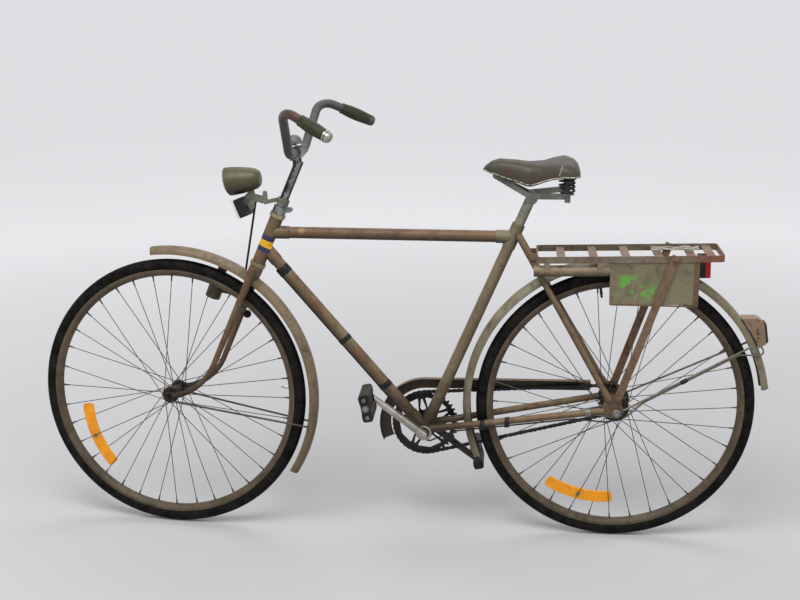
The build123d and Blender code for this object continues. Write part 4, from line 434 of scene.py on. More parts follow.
class Shape:
    """Gathers the faces of one piece, with the steering straight."""

    def __init__(self):
        self.verts = []
        self.faces = []

    def rows(self, rows, close_rows=False, close_ring=True, caps=True):
        """Joins rows of points, each as long as the next, with faces."""
        first = len(self.verts)
        width = len(rows[0])
        for row in rows:
            self.verts.extend(row)
        count = len(rows)
        for i in range(count if close_rows else count - 1):
            a = first + i * width
            b = first + ((i + 1) % count) * width
            for j in range(width if close_ring else width - 1):
                k = (j + 1) % width
                self.faces.append((a + j, a + k, b + k, b + j))
        if caps and close_ring and not close_rows:
            last = first + (count - 1) * width
            self.faces.append(tuple(range(first, first + width)))
            self.faces.append(tuple(range(last, last + width)))
        return self

    def lathe(self, origin, aim, profile, sides, caps=True):
        """Turns rows of (distance along in mm, radius in mm) about an axis."""
        turn = aim.to_track_quat("Z", "Y")
        right, up, along = turn @ FORWARD, turn @ LEFT, aim.normalized()
        rows = []
        for s, r in profile:
            ring = [along * s + right * (r * cos(a)) + up * (r * sin(a)) for a in circle(sides)]
            rows.append([origin + point * MM for point in ring])
        return self.rows(rows, caps=caps)

    def tube(self, points, radius, sides=8):
        """A round bar along points, in metres, with a radius in mm."""
        last = len(points) - 1
        rows = []
        normal = None
        for i, p in enumerate(points):
            along = (points[min(i + 1, last)] - points[max(i - 1, 0)]).normalized()
            if normal is None:
                normal = along.orthogonal().normalized()
            normal = (normal - along * normal.dot(along)).normalized()
            side = along.cross(normal)
            rows.append([p + (normal * cos(a) + side * sin(a)) * (radius * MM) for a in circle(sides)])
        return self.rows(rows)

    def nut(self, origin, aim, across, height):
        """A chamfered hexagon."""
        r = across / sqrt(3.0)
        return self.lathe(origin, aim, ((0, r), (height * 0.82, r), (height, r * 0.86)), 6)

    def nut_pair(self, middle, out, across, height):
        """A nut to the left and one to the right of a middle, out in mm."""
        for side in (1, -1):
            self.nut(middle + LEFT * (side * out * MM), LEFT * side, across, height)
        return self

    def slab(self, plane, outline, thick, lip=0.0):
        """A plate: plane gives origin and two axes, outline is rows of mm; lip chamfers its edge."""
        origin, u, v = plane
        w = u.cross(v).normalized()
        cu = sum(p[0] for p in outline) / len(outline)
        cv = sum(p[1] for p in outline) / len(outline)

        def ring(level, inset):
            row = []
            for a, b in outline:
                k = 1.0 - inset / (hypot(a - cu, b - cv) or 1.0)
                row.append(origin + (u * (cu + (a - cu) * k) + v * (cv + (b - cv) * k) + w * level) * MM)
            return row

        if lip:
            return self.rows([ring(0, lip), ring(lip, 0), ring(thick - lip, 0), ring(thick, lip)])
        return self.rows([ring(0, 0), ring(thick, 0)])


def add_object(name, data):
    obj = bpy.data.objects.new(name, data)
    bpy.context.scene.collection.objects.link(obj)
    return obj


def piece(name, shape, material, body, node=None, sharp=38.0, solid=0.0):
    """Makes a Blender object of a shape, turns it with the steering and lets it ride on its body."""
    mesh = bpy.data.meshes.new(name)
    mesh.from_pydata([tuple(v) for v in shape.verts], [], shape.faces)
    if body in STEERED:
        mesh.transform(TURN)
    bm = bmesh.new()
    bm.from_mesh(mesh)
    bmesh.ops.remove_doubles(bm, verts=bm.verts, dist=1e-7)
    bmesh.ops.recalc_face_normals(bm, faces=bm.faces)
    for face in bm.faces:
        face.smooth = True
    bm.to_mesh(mesh)
    bm.free()
    mesh.set_sharp_from_angle(angle=radians(sharp))
    mesh.materials.append(material)
    obj = add_object(name, mesh)
    if solid:
        skin = obj.modifiers.new("skin", "SOLIDIFY")
        skin.thickness = solid
        skin.offset = -1.0
    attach(obj, body)
    if node:
        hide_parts(node)
    return obj


def dress(material, *nodes):
    """Gives CAD nodes their material."""
    for name in nodes:
        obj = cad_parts[name]
        obj.data.materials.clear()
        obj.data.materials.append(material)


def table(rows, x):
    """Smooth reading of a short table of (place, value)."""
    if x <= rows[0][0]:
        return rows[0][1]
    for (a, p), (b, q) in zip(rows, rows[1:]):
        if x <= b:
            t = (x - a) / (b - a)
            eased = t * t * (3 - 2 * t)
            return p + (q - p) * (eased * 0.5 + t * 0.5)
    return rows[-1][1]


def wheel_point(center, angle, r, y=0.0):
    """A point at an angle and a radius about a wheel's axis, y to the left."""
    return center + Vector((r * cos(angle), y, r * sin(angle))) * MM


# CAD nodes and their materials
dress(head_paint, "head_tube")
dress(frame_paint, "down_tube", "chain_stays", "seat_stays", "bottom_bracket")
dress(seat_paint, "seat_tube")
dress(lug_paint, "seat_lug")
dress(top_paint, "top_tube")
dress(fork_paint, "fork", "fork_blades")
dress(brass, "headset")
dress(post_steel, "seat_post")
dress(grey_steel, "saddle_frame", "brake_arm")
dress(bracket_paint, "lamp_bracket")
dress(black_steel, "chainwheel", "sprocket", "chain", "pedal_left", "pedal_right", "saddle_springs")
dress(guard_black, "chain_guard")
dress(carrier_paint, "carrier")
dress(strut_paint, "carrier_struts")
dress(box_paint, "tool_box")
dress(tube_paint, "tool_tube")
dress(rear_lamp_paint, "rear_lamp")
dress(chrome, "cranks", "crank_spindle", "rear_axle")
dress(hub_steel, "front_hub", "rear_hub", "front_axle")
dress(bell_steel, "bell")
dress(bright, "grip_caps")
dress(bar_paint, "handlebar")
dress(stem_chrome, "stem")
dress(guard_paint, "rear_mudguard")
dress(front_guard_paint, "front_mudguard")
dress(stay_steel, "rear_mudguard_stays")
dress(dark_stay, "front_mudguard_stays")
dress(dynamo_paint, "dynamo")
dress(dark_plastic, "front_reflector", "rear_reflector")
dress(amber_plastic, "front_spoke_reflector", "rear_spoke_reflector")
dress(black_rubber, "pedal_left_rubbers", "pedal_right_rubbers", "lamp_cable")
dress(lead_rubber, "lamp_lead")
dress(saddle_vinyl, "saddle_cover")
dress(grip_rubber, "grips")
dress(lamp_paint, "headlamp")
dress(lens_glass, "headlamp_lens")
dress(wire, "front_spokes", "rear_spokes")
dress(rim_paint, "front_rim", "rear_rim")
dress(tyre_rubber, "front_tyre", "rear_tyre")

# Tyres: round casing with a ribbed crown and notched shoulders, angles of the section in degrees
CASING_CIRCLE = 327.0
CASING_RADIUS = 15.6
BEAD_RADIUS = 312.8
BEAD_HALF = 10.3
SECTION_HALF = 128.0
SECTION_STEPS = 28
SECTION_STEP = 2 * SECTION_HALF / SECTION_STEPS
CROWN = 18.0
SHOULDER = 56.0
RIB = 0.4
NOTCH = 0.5
NOTCHES = 300


def tread(deg, raised):
    """Height of the tread over the casing at one angle of the section."""
    if abs(deg) < CROWN:
        return RIB if round(deg / SECTION_STEP) % 2 == 0 else 0.0
    if abs(deg) < SHOULDER:
        return RIB if raised else -NOTCH
    return 0.0


def tyre(tag, center):
    rows = []
    for k, angle in enumerate(circle(2 * NOTCHES)):
        row = [wheel_point(center, angle, BEAD_RADIUS, -BEAD_HALF)]
        for i in range(SECTION_STEPS + 1):
            deg = -SECTION_HALF + SECTION_STEP * i
            r = CASING_RADIUS + tread(deg, k % 2)
            t = radians(deg)
            row.append(wheel_point(center, angle, CASING_CIRCLE + r * cos(t), r * sin(t)))
        row.append(wheel_point(center, angle, BEAD_RADIUS, BEAD_HALF))
        rows.append(row)
    shape = Shape().rows(rows, close_rows=True)
    piece(f"{tag}_tyre_tread", shape, tyre_rubber, f"{tag}_wheel", f"{tag}_tyre", sharp=50)


# Rims: rolled edges, two channels and a raised middle
RIM_SECTION = (
    # lateral, radius
    (10.6, 312.5), (10.9, 316.0), (12.0, 317.0), (13.4, 316.4), (14.0, 314.5), (13.6, 310.5), (12.2, 307.6),
    (10.0, 306.2), (7.6, 304.2), (5.2, 301.2), (2.6, 300.3), (0.0, 300.1),
)
RIM_STEPS = 180


def rim(tag, center):
    section = list(RIM_SECTION) + [(-y, r) for y, r in reversed(RIM_SECTION[:-1])]
    rows = [[wheel_point(center, angle, r, y) for y, r in section] for angle in circle(RIM_STEPS)]
    shape = Shape().rows(rows, close_rows=True)
    piece(f"{tag}_rim_section", shape, rim_paint, f"{tag}_wheel", f"{tag}_rim")


# Spokes: round wire with a head at the flange and a nipple at the rim, laced over three
SPOKES = 36
CROSSINGS = 3
SPOKE_RADIUS = 1.0
RIM_SEAT = 301.0
RIM_STAGGER = 3.0
FLANGE_STAGGER = 3.4
HOLE_INSET = 3.5
HEAD_PROFILE = ((-0.4, 1.9), (0.5, 1.9), (0.9, 1.0))
NIPPLE_PROFILE = ((0, 1.2), (1, 1.9), (9, 1.9), (10.5, 2.6), (14, 2.6))


def spokes(tag, center, flange_y, flange_radius):
    shape = Shape()
    for n, rim_angle in enumerate(circle(SPOKES)):
        side = 1 if n % 2 else -1
        lead = 1 if n % 4 < 2 else -1
        hub_angle = rim_angle - lead * radians(CROSSINGS * 720 / SPOKES)
        hub_y = side * (flange_y + lead * FLANGE_STAGGER)
        hub = wheel_point(center, hub_angle, flange_radius - HOLE_INSET, hub_y)
        end = wheel_point(center, rim_angle, RIM_SEAT, side * RIM_STAGGER)
        run = (end - hub).normalized()
        outward = LEFT * (side * lead * MM)
        head = hub - outward * 5.6
        shape.tube([head, hub - outward * 1.2, hub + run * 0.0016, end - run * 0.013], SPOKE_RADIUS, 7)
        shape.lathe(head, LEFT * (-side * lead), HEAD_PROFILE, 8)
        shape.lathe(end - run * 0.014, run, NIPPLE_PROFILE, 8)
    piece(f"{tag}_spoke_wires", shape, wire, f"{tag}_wheel", f"{tag}_spokes")


def valve(tag, center, angle, stub, material):
    """A valve whose thicker foot is stub millimetres long."""
    foot = wheel_point(center, angle, RIM_SEAT)
    profile = ((-1, 4.6), (1.5, 4.6), (2, 3.2), (stub - 4, 3.2), (stub - 3, 3.9), (stub, 3.9),
               (stub + 1, 2.9), (stub + 9, 2.9), (stub + 10.5, 1.8))
    shape = Shape().lathe(foot, (center - foot).normalized(), profile, 14)
    piece(f"{tag}_valve", shape, material, f"{tag}_wheel")


WHEELS = (
    # name, hub, flange's distance from the middle, flange's radius, valve's angle, stub and material
    ("front", FRONT_HUB, 34.0, 21.0, radians(174.4), 9.0, chrome),
    ("rear", REAR_HUB, 28.0, 34.0, radians(81.4), 15.0, black_rubber),
)
for tag, center, flange_y, flange_radius, valve_angle, stub, valve_material in WHEELS:
    tyre(tag, center)
    rim(tag, center)
    spokes(tag, center, flange_y, flange_radius)
    valve(tag, center, valve_angle, stub, valve_material)

# Mudguards: crowned sheet with rolled edges
GUARD_RADIUS = 375.9
GUARD_DROP = 19.0
GUARD_HALF = 21.0
GUARD_SHEET = 1.3
GUARD_STEP = 1.6
GUARD_EDGE = [(20.2, 356.6), (19.4, 357.4), (19.7, 358.6)]
REAR_GUARD_FRONT = 171.3


def mudguard(tag, center, first, last, material, body):
    """A guard from one angle to another, in degrees."""
    profile = []
    for i in range(25):
        t = -1.0 + 2.0 * i / 24
        y = GUARD_HALF * (1 - (1 - abs(t)) ** 1.5) * (1 if t >= 0 else -1)
        profile.append((y, GUARD_RADIUS - GUARD_DROP * abs(t) ** 2.6))
    inner = [(y * 0.945, r - GUARD_SHEET) for y, r in reversed(profile[2:-2])]
    ring = [(-y, r) for y, r in reversed(GUARD_EDGE)] + profile + GUARD_EDGE + inner
    steps = int((last - first) / GUARD_STEP)
    rows = []
    for k in range(steps + 1):
        angle = radians(first + (last - first) * k / steps)
        rows.append([wheel_point(center, angle, r, y) for y, r in ring])
    shape = Shape().rows(rows)
    piece(f"{tag}_mudguard_sheet", shape, material, body, f"{tag}_mudguard", sharp=50)


mudguard("rear", REAR_HUB, -22.8, REAR_GUARD_FRONT, guard_paint, "frame")
mudguard("front", FRONT_HUB, 82.0, 211.0, front_guard_paint, "steering")

# Chain: rollers, pins, inner and outer plates
PITCH = 12.7
TEETH_FRONT = 40
TEETH_REAR = 18
CHAIN_Y = -45.0
PLATE = 1.0
PLATE_END = 4.2
PLATE_WAIST = 3.0
OUTER_PLATES = (2.9, -3.9)
INNER_PLATES = (1.7, -2.7)
ROLLER_RADIUS = 3.9
ROLLER_HALF = 1.7
PIN_RADIUS = 1.7
PIN_HALF = 4.5


def chain_pins():
    """The pins' places round the chainwheel and the sprocket, an even number a pitch apart."""
    big = PITCH / (2 * sin(pi / TEETH_FRONT))
    small = PITCH / (2 * sin(pi / TEETH_REAR))
    span = hypot(*BRACKET)
    back = atan2(-BRACKET[1], -BRACKET[0])
    gain = big - small
    lean = acos(gain / span)
    straight = sqrt(span ** 2 - gain ** 2)
    front_arc = (2 * pi - 2 * lean) * big
    rear_arc = 2 * lean * small
    whole = 2 * straight + front_arc + rear_arc
    links = 2 * round(whole / PITCH / 2)
    pins = []
    for n in range(links):
        s = whole * n / links
        if s < front_arc:
            share, angle = 0.0, back - lean - s / big
        elif s < front_arc + straight:
            share, angle = (s - front_arc) / straight, back + lean
        elif s < front_arc + straight + rear_arc:
            share, angle = 1.0, back + lean - (s - front_arc - straight) / small
        else:
            share, angle = 1.0 - (s - front_arc - straight - rear_arc) / straight, back - lean
        r = big - gain * share
        pins.append((BRACKET[0] * (1 - share) + r * cos(angle), BRACKET[1] * (1 - share) + r * sin(angle)))
    return pins


def link_outline(pin, following):
    """A plate round two pins, drawn in at its waist."""
    turn = atan2(following[1] - pin[1], following[0] - pin[0])
    middle = ((pin[0] + following[0]) / 2, (pin[1] + following[1]) / 2)
    outline = []
    for (x, z), first in ((following, -90), (pin, 90)):
        for k in range(7):
            a = radians(first + 30 * k) + turn
            outline.append((x + PLATE_END * cos(a), z + PLATE_END * sin(a)))
        a = radians(first + 180) + turn
        outline.append((middle[0] + PLATE_WAIST * cos(a), middle[1] + PLATE_WAIST * sin(a)))
    return outline


def chain():
    shape = Shape()
    pins = chain_pins()
    for n, pin in enumerate(pins):
        outline = link_outline(pin, pins[(n + 1) % len(pins)])
        for y in OUTER_PLATES if n % 2 else INNER_PLATES:
            shape.slab((at(0, 0, CHAIN_Y + y + PLATE), FORWARD, UP), outline, PLATE)
        roller = (0, ROLLER_RADIUS), (2 * ROLLER_HALF, ROLLER_RADIUS)
        shape.lathe(at(*pin, CHAIN_Y - ROLLER_HALF), LEFT, roller, 10, caps=False)
        shape.lathe(at(*pin, CHAIN_Y - PIN_HALF), LEFT, ((0, PIN_RADIUS), (2 * PIN_HALF, PIN_RADIUS)), 8)
    piece("chain_links", shape, black_steel, "frame", "chain")


chain()

# Saddle: moulded cover with a worn lower edge, a seam and two studs
# Rows of (distance forward, value): the ridge's height, half the width, the lower edge's height
SADDLE_TOP = ((106, 590), (110, 600), (120, 609), (141, 616), (165, 612), (190, 605.5), (225, 604),
              (262, 608), (296, 610), (314, 605), (328, 595), (336, 586))
SADDLE_HALF = ((106, 56), (110, 70), (120, 81), (136, 86), (155, 82), (175, 70), (200, 54), (230, 41),
               (262, 33), (292, 28.5), (316, 24), (329, 17), (336, 7))
SADDLE_LOW = ((106, 577), (120, 577), (150, 577), (165, 573), (226, 549.5), (270, 562), (320, 577.5),
              (336, 584))
SADDLE_REAR = 106.0
SADDLE_LENGTH = 230.0
SADDLE_SKIN = 0.004
SEAM_X = 158.0
STUD_X = 279.0
STUD_TURN = radians(20)
STUD_PROFILE = ((0, 4.2), (1.6, 4.0), (2.4, 2.4))


def saddle_point(x, turn):
    """A point of the cover, turned from its left edge over the ridge to its right edge."""
    low = table(SADDLE_LOW, x)
    c, s = cos(turn), sin(turn)
    y = table(SADDLE_HALF, x) * (abs(c) ** 0.62) * (1 if c >= 0 else -1)
    return at(x, low + (table(SADDLE_TOP, x) - low) * (abs(s) ** 0.66), y)


def saddle():
    stations = [SADDLE_REAR + SADDLE_LENGTH * (0.5 - 0.5 * cos(pi * i / 44)) for i in range(45)]
    turns = [pi * j / 40 for j in range(41)]
    rows = [[saddle_point(x, t) for t in turns] for x in stations]
    skin = Shape().rows(rows, close_ring=False)
    low = table(SADDLE_LOW, SADDLE_REAR)
    half = table(SADDLE_HALF, SADDLE_REAR)
    rear = [at(SADDLE_REAR + 0.5, low, half * (1 - j / 20.0)) for j in range(41)]
    skin.rows([rows[0], rear], close_ring=False)
    cover = piece("saddle_skin", skin, saddle_vinyl, "frame", "saddle_cover", sharp=70,
                  solid=SADDLE_SKIN)
    trim = Shape()
    for side in (0.02, pi - 0.02):
        trim.tube([saddle_point(x, side) for x in stations[1:-1]], 1.5)
    seam = [saddle_point(SEAM_X - 14 * sin(t), t) + UP * 0.0003 for t in turns[1:-1]]
    for run in (seam[:9], seam[-9:]):
        trim.tube(run, 0.9, 6)
    piece("saddle_edge", trim, worn_edge, "frame")
    studs = Shape()
    for side, turn in ((1, STUD_TURN), (-1, pi - STUD_TURN)):
        studs.lathe(saddle_point(STUD_X, turn) - LEFT * (side * 0.0006), LEFT * side, STUD_PROFILE, 14)
    piece("saddle_rivets", studs, dull_red, "frame")


saddle()

# Saddle springs: a coil round a post on each side
SPRING_X = 135.0
SPRING_Y = 55.0
SPRING_FOOT = 540.4
SPRING_HEIGHT = 33.4
SPRING_TURNS = 3.6
SPRING_COIL = 15.8
SPRING_WIRE = 2.5
SPRING_STEPS = 119
POST_FOOT = 538.0
POST_PROFILE = ((0, 6.0), (38.0, 6.0))
coils = Shape()
posts = Shape()
for side in (1, -1):
    helix = []
    for k in range(SPRING_STEPS + 1):
        t = k / SPRING_STEPS
        a = 2 * pi * SPRING_TURNS * t
        y = side * SPRING_Y + SPRING_COIL * sin(a)
        helix.append(at(SPRING_X + SPRING_COIL * cos(a), SPRING_FOOT + SPRING_HEIGHT * t, y))
    coils.tube(helix, SPRING_WIRE, 9)
    posts.lathe(at(SPRING_X, POST_FOOT, side * SPRING_Y), UP, POST_PROFILE, 16)
piece("saddle_coils", coils, black_steel, "frame", "saddle_springs")
piece("saddle_spring_posts", posts, grey_steel, "frame")

# Grips: moulded rubber with a belly and end beads, closed by tapered metal caps
GRIP_START = at(723.4, 711.2, 212)
GRIP_END = at(654.4, 678.8, 245)
GRIP_LENGTH = 84.0
GRIP_RADIUS = 13.2
GRIP_BELLY = 2.3
GRIP_RIDGE = 0.25
grip_profile = [(0, 11.2), (0, 13.4), (1.6, 14.2), (3.4, GRIP_RADIUS)]
for k in range(20):
    t = k / 19
    ridge = GRIP_RIDGE if k % 2 else 0.0
    grip_profile.append((5 + 74 * t, GRIP_RADIUS + GRIP_BELLY * sin(pi * t ** 0.85) + ridge))
grip_profile += [(80.4, 13.9), (82.4, 14.1), (GRIP_LENGTH, GRIP_RADIUS), (GRIP_LENGTH, 11.2)]
cap_profile = [(-7.0, 13.2), (-6.4, 14.3), (-1.0, 13.7), (3.0, 12.7)]
for k in range(1, 8):
    a = radians(12 * k)
    cap_profile.append((4.0 + 5.6 * sin(a), 12.3 * cos(a)))
sleeves = Shape()
caps = Shape()
for side in (1, -1):
    mirror = Matrix.Diagonal((1, side, 1))
    aim = (mirror @ (GRIP_END - GRIP_START)).normalized()
    sleeves.lathe(mirror @ GRIP_START, aim, grip_profile, 36)
    caps.lathe(mirror @ GRIP_START + aim * (GRIP_LENGTH * MM), aim, cap_profile, 32)
piece("grip_sleeves", sleeves, grip_rubber, "steering", "grips")
piece("grip_domes", caps, bright, "steering", "grip_caps")

# Amber spoke reflectors: an arc with rounded ends and a clip screw
ARC_OUTER = 266.0
ARC_DEPTH = 29.0
ARC_INNER = ARC_OUTER - ARC_DEPTH
ARC_MIDDLE = (ARC_INNER + ARC_OUTER) / 2
ARC_SWEEP = 39.5
ARC_CORNER = 7.0
ARC_HALF = 3.4
ARC_STEPS = 48
ARC_SECTION = (
    # share of the depth, share of half the thickness
    (0.0, -0.4), (0.04, -1), (0.5, -1), (0.96, -1), (1.0, -0.4),
    (1.0, 0.4), (0.96, 1), (0.5, 1), (0.04, 1), (0.0, 0.4),
)
SCREW_PROFILE = ((-0.5, 6.0), (0.8, 6.0), (1.4, 4.6), (1.4, 2.4), (0.6, 1.6))


def spoke_reflector(tag, center, middle, lean):
    """A reflector about an angle of the wheel, leaning from the rim's circle, in degrees."""
    hinge = wheel_point(center, radians(middle), ARC_MIDDLE)
    swing = Matrix.Rotation(radians(lean), 4, -LEFT)

    def spot(deg, r, y):
        return hinge + swing @ (wheel_point(center, radians(deg), r, y) - hinge)

    rows = []
    for k in range(ARC_STEPS + 1):
        deg = middle - ARC_SWEEP / 2 + ARC_SWEEP * k / ARC_STEPS
        edge = radians(min(k, ARC_STEPS - k) * ARC_SWEEP / ARC_STEPS) * ARC_OUTER
        cut = ARC_CORNER - sqrt(ARC_CORNER ** 2 - (ARC_CORNER - edge) ** 2) if edge < ARC_CORNER else 0.0
        depth = ARC_DEPTH - 2 * cut
        rows.append([spot(deg, ARC_INNER + cut + depth * share, y * ARC_HALF) for share, y in ARC_SECTION])
    body = f"{tag}_wheel"
    piece(f"{tag}_amber_arc", Shape().rows(rows), amber_plastic, body, f"{tag}_spoke_reflector")
    screw = Shape()
    for side in (1, -1):
        screw.lathe(spot(middle, ARC_MIDDLE, side * ARC_HALF), LEFT * side, SCREW_PROFILE, 16)
    piece(f"{tag}_amber_screw", screw, brass, body)


spoke_reflector("front", FRONT_HUB, -31.0, 8.0)
spoke_reflector("rear", REAR_HUB, -71.0, -5.5)


# Tape bands that hold the lamp lead to the frame's tubes
def wrap(shape, start_at, run, under, reach, radius, lead, length):
    """A band round a tube and the lead below it: under is the way to the lead, reach its distance."""
    side = run.cross(under).normalized()
    rows = []
    for level, grow in ((0.0, -0.5), (0.8, 0.0), (length - 0.8, 0.0), (length, -0.5)):
        r = radius + grow
        row = []
        for a in circle(36):
            c = cos(a)
            tip = max(r, reach * c + lead + grow) if c > 0.86 else r
            row.append(start_at + (run * level + under * (tip * c) + side * (r * sin(a))) * MM)
        rows.append(row)
    shape.rows(rows)


DOWN_TOP = on_head(414.05)
DOWN_RUN = (CRANK_AXIS - DOWN_TOP).normalized()
DOWN_UNDER = Vector((-DOWN_RUN.z, 0.0, DOWN_RUN.x))
STAY_FRONT = at(BRACKET[0] - 14.0, BRACKET[1] + 4.0, 24.0)
STAY_RUN = (at(28.0, 3.0, 62.0) - STAY_FRONT).normalized()
bands = Shape()
for distance, length in ((63.0, 22.0), (297.0, 13.0), (450.0, 15.0)):
    wrap(bands, DOWN_TOP + DOWN_RUN * (distance * MM), DOWN_RUN, DOWN_UNDER, 16.6, 14.9, 2.9, length)
for distance, length in ((128.0, 12.0), (190.0, 12.0)):
    wrap(bands, STAY_FRONT + STAY_RUN * (distance * MM), STAY_RUN, -UP, 12.8, 11.2, 3.0, length)
piece("tape_bands", bands, tape, "frame")

# Tool box: a strip down each end of its outer side, a lower edge and two screws
BOX_FACE = at(0, 0, 69.0)
BOX_PLANE = (BOX_FACE, -FORWARD, UP)


def box_strip(shape, first, last, low, high, thick, lip):
    """A strip on the box's outer side, between two places back from the axle and two heights."""
    shape.slab(BOX_PLANE, ((first, low), (last, low), (last, high), (first, high)), thick, lip)


front_strip = Shape()
box_strip(front_strip, -28.4, -21.5, 272.0, 379.0, 1.6, 0.5)
for height in (284.0, 366.0):
    screw_foot = BOX_FACE + Vector((25.0, 1.6, height)) * MM
    front_strip.lathe(screw_foot, LEFT, ((-0.3, 2.6), (0.8, 2.6), (1.5, 1.4)), 12)
piece("box_front_strip", front_strip, box_paint, "frame")
rear_strip = Shape()
box_strip(rear_strip, 169.5, 181.4, 271.0, 380.0, 2.4, 0.6)
box_strip(rear_strip, -21.0, 169.0, 271.2, 274.6, 1.0, 0.3)
piece("box_rear_strip", rear_strip, strip_paint, "frame")

# Bolts of the carrier's struts, nuts of the saddle's clamp and domed nuts of the rear axle
strut_bolts = Shape().nut_pair(at(-123.0, 387.0), 76.6, 12.0, 4.5).nut_pair(at(-3.0, 37.0), 69.6, 12.0, 4.5)
piece("strut_bolts", strut_bolts, strut_paint, "frame")
clamp_nuts = Shape().nut_pair(at(224.0, 512.0), 16.0, 13.0, 5.5)
piece("saddle_clamp_nuts", clamp_nuts, grey_steel, "frame")
DOME = 19.5 / sqrt(3.0)
axle_nuts = Shape()
for side in (1, -1):
    dome_profile = ((0, DOME), (3.15, DOME), (5.6, DOME * 0.75), (7.0, DOME * 0.35))
    axle_nuts.lathe(at(0, 0, side * 72.5), LEFT * side, dome_profile, 16)
piece("axle_dome_nuts", axle_nuts, grey_steel, "frame")

# Rear lamp: dark lens with round corners behind the body, and three drain holes in its side
LENS_UP = Vector((8.5, 0.0, 53.0)).normalized()
LENS_BACK = at(-353.2, 196.7) - LENS_UP.cross(LEFT) * MM
LENS_CORNER = 8.2
outline = []
for across, up, first in ((12.0, 18.0, 0), (-12.0, 18.0, 90), (-12.0, -18.0, 180), (12.0, -18.0, 270)):
    for k in range(7):
        a = radians(first + 15 * k)
        outline.append((up + LENS_CORNER * sin(a), across + LENS_CORNER * cos(a)))
lens = Shape().slab((LENS_BACK, LENS_UP, LEFT), outline, 6.5, 2.2)
piece("rear_lamp_lens", lens, dark_plastic, "frame")
holes = Shape()
for x, z in ((-333.5, 205.8), (-336.0, 195.8), (-337.0, 185.8)):
    holes.lathe(at(x, z, 19.6), LEFT, ((0, 2.4), (0.7, 2.4), (0.9, 1.6)), 12)
piece("rear_lamp_holes", holes, tape, "frame")

# Black bead round the front end of the rear mudguard
half_bead = [(19.5, 358.0), (17.0, 368.0), (9.0, 374.5)]
bead_path = [(-y, r) for y, r in half_bead] + [(0.0, 375.5)] + half_bead[::-1]
bead = Shape().tube([wheel_point(REAR_HUB, radians(REAR_GUARD_FRONT), r, y) for y, r in bead_path], 1.6)
piece("guard_end_bead", bead, tape, "frame")

# Black sleeve that ties the lamp lead to the guard stay
SLEEVE_PROFILE = ((0, 4.2), (1.5, 5.3), (9.0, 5.7), (17.0, 5.3), (18.5, 4.2))
sleeve = Shape().lathe(at(-154.0, 73.7, 45.1), Vector((-25.0, -3.2, 13.0)).normalized(), SLEEVE_PROFILE, 16)
piece("lead_sleeve", sleeve, tape, "frame")

# Black rubber knob against the back of the right fork blade
KNOB_RADIUS = 10.5
KNOB_AT = TURN.inverted() @ at(925.5, 198.8, -45.0)
knob_profile = [(KNOB_RADIUS * sin(radians(a)), KNOB_RADIUS * cos(radians(a))) for a in range(-80, 81, 16)]
knob = Shape().lathe(KNOB_AT, LEFT, knob_profile, 24)
piece("fork_knob", knob, black_rubber, "steering")

# Front reflector: clear face in front of the dark housing
TILT = radians(23.0)
FACE_AHEAD = Vector((cos(TILT), 0.0, -sin(TILT)))
FACE_MIDDLE = on_head(537.5) + Vector((99.5, 0.0, -15.6)) * MM + FACE_AHEAD * 0.0108
FACE_OUTLINE = ((-30.2, -24.0), (30.2, -24.0), (30.2, 24.0), (-30.2, 24.0))
face = Shape().slab((FACE_MIDDLE, LEFT, FACE_AHEAD.cross(LEFT)), FACE_OUTLINE, 6.0, 1.0)
piece("front_reflector_face", face, clear_plastic, "steering")

# Wire clip along the deck, painted white
CLIP_FRONT = -70.0
clip = Shape()
for y, sag in ((-4.0, 1.6), (10.0, 2.4), (22.0, 1.2)):
    wavy = []
    for k in range(11):
        height = 399.6 + 0.33 * k + sag * sin(1.7 * k + y)
        wavy.append(at(CLIP_FRONT - 11.3 * k, height, y + 2.5 * sin(2.3 * k)))
    clip.tube(wavy, 1.7)
for x in (-92.0, -158.0):
    clip.tube([at(x, 400.6 - (x - CLIP_FRONT) * 0.03, y) for y in (-8.0, 8.0, 26.0)], 1.5)
piece("deck_wire_clip", clip, white_paint, "frame")

# Bottom bracket: bright lock ring round the left cup
RING_PROFILE = ((0, 19.0), (0.9, 19.0), (1.1, 18.2), (1.1, 14.4), (0, 14.0))
ring = Shape().lathe(CRANK_AXIS + LEFT * 0.0379, LEFT, RING_PROFILE, 40, caps=False)
piece("cup_lock_ring", ring, chrome, "frame")

# Pedals: end nut and two frame nuts on the outer plate
CRANK = 170.0
CRANK_ANGLE = radians(39.5)
PEDAL_LEAN = radians(90.0 - 12.0)
PEDAL_FACE = 187.3
END_NUT_PROFILE = ((0, 9.0), (2.4, 8.6), (3.0, 7.4), (3.0, 5.4), (2.2, 5.2))
for tag, side, material in (("left", 1, grey_steel), ("right", -1, black_steel)):
    outer = wheel_point(CRANK_AXIS, CRANK_ANGLE, side * CRANK, side * PEDAL_FACE)
    nuts = Shape().lathe(outer, LEFT * side, END_NUT_PROFILE, 20)
    for up in (22.0, -22.0):
        nuts.nut(wheel_point(outer, PEDAL_LEAN, up), LEFT * side, 9.0, 3.0)
    piece(f"pedal_{tag}_nuts", nuts, material, f"pedal_{tag}")

# Stem clamp bolt through the ears, and the collar's bolt behind the steerer
STEM_EAR = on_head(646.0) + Vector((15.5, 0.0, 7.2)) * MM
COLLAR_EAR = on_head(515.5) - FORWARD * 0.025
stem_bolts = Shape().nut_pair(STEM_EAR, 14.0, 11.0, 5.5).nut_pair(COLLAR_EAR, 7.8, 10.0, 5.0)
piece("stem_bolts", stem_bolts, stem_chrome, "steering")


# Floor, light and camera
def background_rays(tree):
    """One for the rays that show the background, straight, mirrored or through glass."""
    rays = add_node(tree, "LightPath", {}).outputs
    seen = math(tree, "MAXIMUM", rays["Is Camera Ray"], rays["Is Glossy Ray"])
    return math(tree, "MAXIMUM", seen, rays["Is Transmission Ray"])


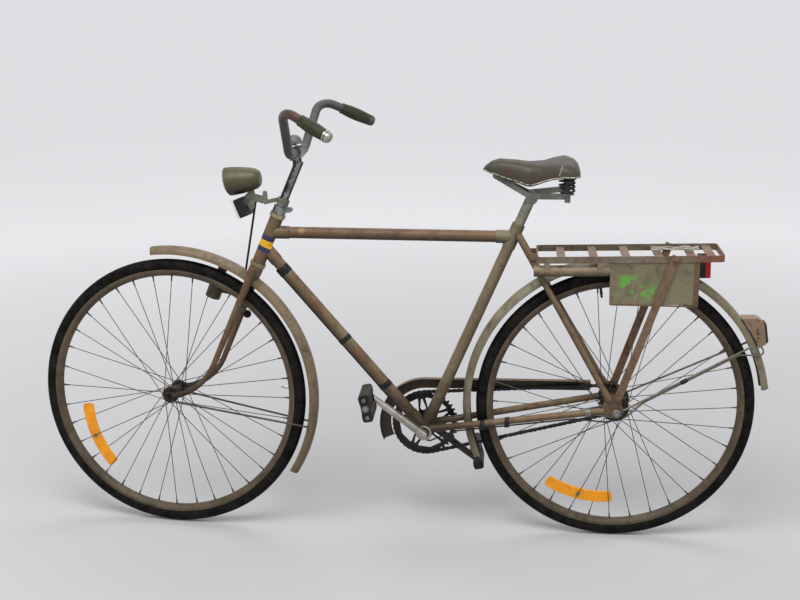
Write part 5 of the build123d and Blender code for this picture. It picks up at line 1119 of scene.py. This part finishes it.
def floor_material():
    """Pale floor that brightens to the background's tone away from the object."""
    mat, tree, shader, co = start("pale_floor", rough=0.7)
    cloud = noise(tree, co, 1.2, 3.0)
    layer(tree, shader, (0.56, 0.557, 0.567), (cloud, (0.59, 0.587, 0.597)))
    reach = vector_math(tree, "LENGTH", co, (0.0, 0.0, 0.0))["Value"]
    glow = math(tree, "MULTIPLY", remap(tree, reach, 1.3, 4.2, 0.0, 0.42), background_rays(tree))
    shader.inputs["Emission Color"].default_value = (0.98, 0.98, 1.0, 1.0)
    put(tree, shader.inputs["Emission Strength"], glow)
    return mat


FLOOR_HALF = 400
FLOOR_Z = at(0, GROUND - 0.4).z
corners = [(FLOOR_HALF * x, FLOOR_HALF * y, FLOOR_Z) for x, y in ((-1, -1), (1, -1), (1, 1), (-1, 1))]
floor_mesh = bpy.data.meshes.new("floor")
floor_mesh.from_pydata(corners, [], [(0, 1, 2, 3)])
floor_mesh.materials.append(floor_material())
floor = add_object("floor", floor_mesh)

world = bpy.data.worlds.new("studio")
bpy.context.scene.world = world
world.use_nodes = True
sky = world.node_tree.nodes["Background"].inputs
sky["Color"].default_value = (0.93, 0.94, 0.97, 1.0)
put(world.node_tree, sky["Strength"],
    remap(world.node_tree, background_rays(world.node_tree), 0.0, 1.0, 0.5, 0.79))


def softbox(name, place, aim, size, power):
    light = bpy.data.lights.new(name, "AREA")
    light.shape = "RECTANGLE"
    light.size, light.size_y = size
    light.energy = power
    obj = add_object(name, light)
    obj.location = place
    obj.rotation_euler = (Vector(aim) - Vector(place)).to_track_quat("-Z", "Y").to_euler()


softbox("key", (0.9, 1.9, 2.6), (0.1, 0.0, -0.4), (2.6, 1.8), 88.0)
softbox("fill", (-2.2, 1.8, 1.8), (-0.2, 0.0, -0.4), (2.2, 2.2), 26.0)
softbox("back", (0.0, -2.4, 2.8), (0.2, 0.0, -0.3), (3.0, 1.6), 30.0)

IMAGE_WIDTH = 800.0
FOCAL_PIXELS = 1400.0
SENSOR = 36.0
ROLL = radians(0.25)
camera = bpy.data.cameras.new("camera")
camera.sensor_width = SENSOR
camera.lens = FOCAL_PIXELS / IMAGE_WIDTH * SENSOR
eye = at(284.1, 1101.5, 3341.0)
aim = (at(534.9, 255.3) - eye).normalized()
level = aim.cross(UP).normalized()
upright = level.cross(aim)
right = level * cos(ROLL) + upright * sin(ROLL)
up = upright * cos(ROLL) - level * sin(ROLL)
camera_obj = add_object("camera", camera)
camera_obj.matrix_world = Matrix.Translation(eye) @ Matrix((right, up, -aim)).transposed().to_4x4()
bpy.context.scene.camera = camera_obj
bpy.context.scene.view_settings.view_transform = "Standard"
